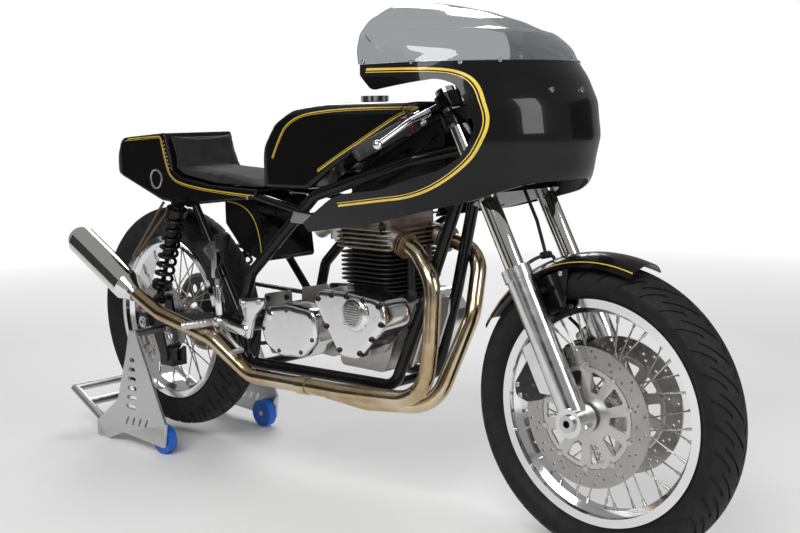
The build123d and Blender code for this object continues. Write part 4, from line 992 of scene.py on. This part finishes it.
# Mudguard stays with their screws, and its edge lines
STAY_ROWS = [(312, 99), (312, 124), (224, 118), (217, 110), (232, 105)]
stays = Piece()
guard_bolts = Piece()
for s in SIDES:
    rows = [(*about(FRONT, r, angle).xz, 5) for r, angle in STAY_ROWS]
    stays.slab(rows, s * 58, s * 61.5)
    for t in (276, 228):
        place = at_leg(t, 30, s * 61)
        stays.rod(place, at_leg(t, 22, s * 84), 7)
        guard_bolts.bolt(place, (0, -s, 0), 5.5, 4)
    for angle in (103, 120):
        guard_bolts.bolt(about(FRONT, 302, angle, s * 61), (0, s, 0), 5.5, 4)
stays.done("mudguard_stays", "fork", paint_black, "gloss_black")
guard_bolts.done("mudguard_screws", "fork", zinc, "stainless")
GUARD_LINE = [about(FRONT, 322, angle).xz for angle in range(38, 158, 4)]
stripes("mudguard_lines", node["front_mudguard"], [(1.8, GUARD_LINE)], "fork")

# Footrests: plates, links, levers and pegs, and the rear reservoir's bracket and cup
PLATE_ROWS = [(-266, 478, 10), (-158, 488, 8), (-160, 470, 6), (-196, 440, 14), (-206, 425, 8), (-214, 395, 8),
              (-222, 374, 8), (-254, 378, 10), (-262, 400, 8), (-240, 425, 8), (-250, 455, 10)]
rests = Piece()
rest_bolts = Piece()
pegs = Piece()
for s in SIDES:
    rests.slab(PLATE_ROWS, s * 155.3, s * 165, 1)
    for (x0, z0, r0), (x1, z1, r1), low, high in (((-238, 394, 12), (-356, 405, 15), 163, 171),
                                                  ((-356, 405, 11), (-243, 344, 7), 171, 178)):
        rows = [(x0, z0 - r0, 2), (x1, z1 - r1, 2), (x1 - r1, z1, r1 * 0.9), (x1, z1 + r1, 2), (x0, z0 + r0, 2),
                (x0 + r0, z0, r0 * 0.9)]
        rests.slab(rows, s * low, s * high, 1)
    rests.rod((-356, s * 158, 405), (-356, s * 182, 405), 14, ease=1)
    pegs.rod((-358, s * 178, 405), (-399, s * 250, 400), 10, ease=1.5)
    for k in range(6):
        a, b = Vector((-358, s * 178, 405)), Vector((-399, s * 250, 400))
        pegs.rod(a.lerp(b, 0.2 + k * 0.13), a.lerp(b, 0.26 + k * 0.13), 11.5, sides=20, ease=0.6)
    pegs.rod((-243, s * 172, 344), (-243, s * 212, 344), 7, ease=1)
    for x, z in ((-246, 466), (-180, 476), (-238, 394)):
        rest_bolts.bolt((x, s * 165, z), (0, s, 0), 7, 5)
    rest_bolts.nut((-356, s * 182, 405), (0, s, 0), 8, 6)
rests.rod((-352, -160, 502), (-345, -160, 424), 13, ease=1.5)
rests.rod((-354, -160, 520), (-352, -160, 502), 7)
rests.slab([(-424, 590, 4), (-392, 616, 4), (-336, 628, 4), (-336, 600, 4), (-368, 586, 6), (-364, 520, 4),
            (-388, 518, 4), (-386, 566, 6)], -153, -150)
rests.done("footrest_set", "chassis", alloy_polished, "polished_alloy", "rearsets")
pegs.done("footrest_pegs", "chassis", alloy_brushed, "brushed_alloy")
rest_bolts.done("footrest_bolts", "chassis", zinc, "stainless")
cup = Piece().rod((-337, -151, 601), (-337, -151, 630), 20, ease=2).rod((-337, -151, 630), (-337, -151, 638), 21.5,
                                                                       ease=1.5)
cup.wire([(-337, -151, 602), (-340, -152, 560), (-366, -158, 540), (-354, -160, 518)], 4)
cup.done("rear_reservoir", "chassis", trim_rubber, "grip_rubber")

# Screws of the screen and the nose
fasteners = Piece()
for x, y, z in ((317.5, 264.5, 1056.7), (450, 258, 1051), (539, 209, 1048), (588, 141, 1051.5), (604, 94, 1057)):
    for s in SIDES:
        way = Vector((max(0.0, (x - 430) / 180), s, 0.1)).normalized()
        fasteners.bolt(Vector((x, s * y, z)) - way, way, 4.5, 3)
for s in SIDES:
    fasteners.bolt((652, s * 54, 990), (1, 0, 0.1), 6, 5)
fasteners.done("fairing_screws", "chassis", zinc, "stainless")

# Dark tray, coils and cables below the tank
tray = Piece()
tray.slab([(50, 738, 10), (40, 790, 10), (130, 838, 20), (330, 935, 10), (352, 900, 10), (352, 780, 30),
           (330, 744, 20)], -44, 44, 3)
for s in SIDES:
    tray.rod((150, s * 46, 800), (250, s * 46, 846), 22, ease=3)
    tray.wire([(330, s * 40, 905), (300, s * 92, 850), (210, s * 96, 800), (100, s * 70, 790), (40, s * 52, 735)], 3.5)
    tray.wire([(345, s * 30, 880), (330, s * 70, 820), (240, s * 80, 770), (120, s * 60, 760), (20, s * 40, 738)], 3)
tray.done("coil_tray", "chassis", trim_rubber, "grip_rubber")

# Bellows sleeves, and the studs and rings on the seat
sleeves = Piece()
for a, b in (((-254, -76, 707), (-190, -80, 703)), ((-176, -80, 703), (-110, -80, 700))):
    a, b = Vector(a), Vector(b)
    for k in range(7):
        sleeves.rod(a.lerp(b, k / 7), a.lerp(b, (k + 0.6) / 7), 15, sides=20, ease=2)
    sleeves.rod(a, b, 12)
sleeves.done("frame_sleeves", "chassis", trim_rubber, "grip_rubber")
studs = Piece()
for k in range(8):
    x, z = -605 - k * 3.2, 806 + k * 10.6
    for s in SIDES:
        studs.bolt(on_side(seat_piece, x, z, s), (0, s, 0), 2.6, 2)
for s in SIDES:
    studs.bolt(on_side(seat_piece, -265, 736, s), (0, s, 0), 5, 3)
    rim = [(26 + 3 * cos(radians(k)), 0.5 + 3 * sin(radians(k))) for k in range(0, 361, 45)]
    studs.turned(rim, on_side(seat_piece, -669, 774, s), (0, s, 0), 40)
studs.done("seat_studs", "chassis", zinc, "stainless")


# Seat pad: a block puffed up as cloth, flat below where it rests
PAD_BLOCK = [(-232, 762, 4), (-222, 768, 6), (-400, 792, 200), (-562, 803, 24), (-592, 860, 8), (-600, 898, 8),
             (-616, 900, 6), (-590, 806, 10), (-556, 788, 60), (-420, 769, 60)]
PAD_CAP = 0.007
PAD_PRESSURE = 4.0
PAD_FRAMES = 20
HELD_BELOW = -0.35


def pad():
    mesh = worked(Piece().slab(PAD_BLOCK, -108, 108).mesh(), 5.0, 4)
    mesh.transform(Matrix.Scale(MM, 4) @ Matrix.Translation((SHIFT, 0, 0)))
    mesh = puffed(mesh)
    mesh = evaluated(mesh, [("SUBSURF", {"levels": 1, "render_levels": 1})])
    mesh.materials.clear()
    mesh.materials.append(pad_suede.material)
    mesh.shade_smooth()
    made = placed("seat_cushion", mesh)
    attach(made, "chassis")
    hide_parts("seat_pad")


def puffed(mesh):
    """The block as cloth under pressure, its rest side held and its swelling capped."""
    scene = bpy.context.scene
    body = placed("pad_block", mesh.copy())
    held = body.vertex_groups.new(name="held")
    held.add([v.index for v in mesh.vertices if v.normal.z < HELD_BELOW], 1.0, "REPLACE")
    cloth = body.modifiers.new("cloth", "CLOTH")
    cloth.settings.vertex_group_mass = "held"
    cloth.settings.use_pressure = True
    cloth.settings.uniform_pressure_force = PAD_PRESSURE
    cloth.settings.effector_weights.gravity = 0.0
    for frame_number in range(1, PAD_FRAMES + 1):
        scene.frame_set(frame_number)
    blown = bpy.data.meshes.new_from_object(body.evaluated_get(bpy.context.evaluated_depsgraph_get()))
    for old, new in zip(mesh.vertices, blown.vertices):
        move = new.co - old.co
        if move.length > PAD_CAP:
            new.co = old.co + move * (PAD_CAP / move.length)
    bpy.data.objects.remove(body)
    scene.frame_set(1)
    return blown


pad()


# Front discs: drilled bands on silver carriers with long windows
def ring(inner, outer, low, high, y, way, sides):
    """Flat ring about the front axle at y, its thickness measured along way."""
    rows = [(inner, low), (outer, low), (outer, high), (inner, high), (inner, low)]
    return Piece().turned(rows, (FRONT[0], y, FRONT[2]), (0, way, 0), sides).mesh()


bands = Piece()
carriers = Piece()
buttons = Piece()
for s in SIDES:
    y = s * DISC_Y
    band = ring(110, 150, -2.5, 2.5, y, 1, 96)
    holes = Piece()
    for k in range(24):
        for r, ahead in ((121, 0), (131, 5), (141, 10)):
            if (k + ahead) % 3 == 2:
                continue
            holes.pin(about(FRONT, r, k * 15 + ahead, y), 4, 3.4, 10)
    bands.take_mesh(less(band, holes))
    carrier = ring(27, 108, -2.5, 2.5, y, 1, 96)
    windows = Piece()
    for k in range(10):
        rows = [(*(about(FRONT, (r * r + w * w) ** 0.5, k * 36 + side * degrees(atan2(w, r)))).xz, 5)
                for r, w, side in ((56, 8, -1), (98, 19, -1), (98, 19, 1), (56, 8, 1))]
        windows.slab(rows, y - 5, y + 5)
        buttons.pin(about(FRONT, 109, k * 36 + 18, y), 4.2, 7, ease=0.8)
    carriers.take_mesh(less(carrier, windows))
for s in SIDES:
    carriers.take_mesh(ring(26.5, 40, 0, 36, s * (DISC_Y - 2.6), -s, 32))
carriers.done("disc_carriers", "front_wheel", alloy_brushed, "brushed_alloy")
bands.done("disc_bands", "front_wheel", front_disc_steel, "brushed_alloy", "front_discs")
buttons.done("disc_buttons", "front_wheel", zinc, "stainless")

# Stand with slots through its plates
SLOT_R = 6
SLOT_EASE = SLOT_R - 0.1
WELD = 0.00001
CUT_FROM = 195
CUT_TO = 215
stand = Piece()
stand.shape.from_mesh(node["paddock_stand"].data)
bmesh.ops.remove_doubles(stand.shape, verts=stand.shape.verts, dist=WELD)
stand.back_to_mm()
slots = []
for x, z, half in ((-722, 118, 24), (-716, 146, 24), (-712, 174, 22), (-710, 202, 20), (-708, 230, 16),
                   (-706, 258, 12)):
    slots.append([(x - half, z - SLOT_R, SLOT_EASE), (x + half, z - SLOT_R, SLOT_EASE),
                  (x + half, z + SLOT_R, SLOT_EASE), (x - half, z + SLOT_R, SLOT_EASE)])
for x, z in ((-745, 74), (-713, 76), (-681, 78), (-649, 80)):
    slots.append([(x - 12, z - 12, 5), (x - 4, z - 14, 5), (x + 12, z + 12, 5), (x + 4, z + 14, 5)])
cuts = Piece()
for rows in slots:
    for s in SIDES:
        cuts.slab(rows, s * CUT_FROM, s * CUT_TO)
stand_mesh = less(stand.mesh(), cuts)
Piece().take_mesh(stand_mesh).done("slotted_stand", "chassis", alloy_stand, "brushed_alloy", "paddock_stand", sharp=30)

# Rings and housings at the grips
rings = Piece()
housings = Piece()
for s in SIDES:
    start, stop = at_leg(731, 0, s * 103), Vector((349, s * 320, 866))
    way = (stop - start).normalized()
    end = (stop - start).length
    rings.rod(start + way * (end - 136), start + way * (end - 131), 19.5, ease=1)
    housings.rod(start + way * (end - 156), start + way * (end - 137), 21, ease=2)
    housings.rod(start + way * (end - 147), start + way * (end - 147) + UP_LEG * 30, 7, ease=1)
rings.done("grip_rings", "fork", red_ring, "grip_rubber")
housings.done("throttle_housings", "fork", dark_grey, "dark_metal")

# Tank filler neck
neck = Piece().rod((90, 0, 962), (90, 0, 978), 30, ease=2)
neck.done("filler_neck", "chassis", alloy_polished, "chrome")

# Studio: a pale floor that fades to white, soft lamps, and cards outside the view for the metal to mirror
FLOOR_TONE = 0.80
FLOOR_HALF = 20.0
FADE_FROM = 2.4
FADE_TO = 5.0
LIGHT_LEVEL = 0.45
MIRROR_LEVEL = 0.30


def floor():
    shape = bmesh.new()
    bmesh.ops.create_grid(shape, x_segments=1, y_segments=1, size=FLOOR_HALF)
    mesh = meshed("floor", shape)
    ground = placed("floor", mesh)
    finish = Finish("floor_paint", shade(FLOOR_TONE), rough=0.6)
    radius = finish.add("ShaderNodeVectorMath", {0: finish.place}, operation="LENGTH")
    fade = finish.spread(radius.outputs["Value"], 0.0, 1.0, FADE_FROM, FADE_TO)
    seen = finish.add("ShaderNodeLightPath").outputs["Is Camera Ray"]
    white = finish.add("ShaderNodeEmission").outputs["Emission"]
    mix = finish.add("ShaderNodeMixShader", {"Fac": finish.math("MULTIPLY", fade, seen),
                                             1: finish.surface.outputs["BSDF"], 2: white})
    finish.link(mix.outputs["Shader"], finish.tree.nodes["Material Output"].inputs["Surface"])
    mesh.materials.append(finish.material)


def lamp(name, at, aim, size, power):
    data = bpy.data.lights.new(name, "AREA")
    data.shape = "RECTANGLE"
    data.size, data.size_y = size
    data.energy = power
    placed(name, data).matrix_world = aimed(at, aim)


def card(name, at, aim, size, tone):
    """A plain card outside the view, for the polished metal to mirror."""
    shape = bmesh.new()
    bmesh.ops.create_grid(shape, x_segments=1, y_segments=1, size=0.5)
    bmesh.ops.scale(shape, vec=(*size, 1), verts=shape.verts)
    bmesh.ops.transform(shape, matrix=aimed(at, aim), verts=shape.verts)
    mesh = meshed(name, shape)
    mesh.materials.append(Finish(name, shade(tone), rough=0.9).material)
    made = placed(name, mesh)
    made.visible_camera = False
    made.visible_diffuse = False
    made.visible_shadow = False


def world():
    """White where it is seen, dimmer where it lights and dimmer still where metal mirrors it."""
    scene = bpy.context.scene
    scene.world = bpy.data.worlds.new("studio")
    scene.world.use_nodes = True
    tree = scene.world.node_tree
    path = shader(tree, "ShaderNodeLightPath").outputs
    seen = shader(tree, "ShaderNodeMath", {0: path["Is Camera Ray"], 1: path["Is Transmission Ray"]},
                  operation="MAXIMUM")
    dim = shader(tree, "ShaderNodeMapRange", {"Value": path["Is Glossy Ray"], "To Min": LIGHT_LEVEL,
                                              "To Max": MIRROR_LEVEL})
    level = shader(tree, "ShaderNodeMapRange", {"Value": seen.outputs["Value"], "To Min": dim.outputs["Result"],
                                                "To Max": 1.0})
    back = tree.nodes["Background"]
    back.inputs["Color"].default_value = (1.0, 1.0, 1.0, 1.0)
    tree.links.new(level.outputs["Result"], back.inputs["Strength"])


floor()
world()
lamp("key_lamp", (1.2, -3.0, 3.4), (0.0, 0.0, 0.5), (3.0, 1.6), 120)
lamp("front_lamp", (4.2, 0.6, 2.2), (0.3, 0.0, 0.6), (1.4, 2.0), 60)
lamp("back_lamp", (-2.6, 2.6, 2.8), (0.0, 0.0, 0.6), (2.2, 1.2), 60)
card("camera_side_card", (1.6, -3.6, 0.9), (0.2, 0.0, 0.6), (1.6, 2.2), 0.02)
card("rear_card", (-2.6, -3.2, 1.2), (0.0, 0.0, 0.6), (4.5, 3.0), 0.03)
card("left_card", (1.9, 3.4, 1.2), (0.0, 0.0, 0.7), (2.4, 1.6), 0.04)

bpy.context.scene.view_settings.view_transform = "Standard"
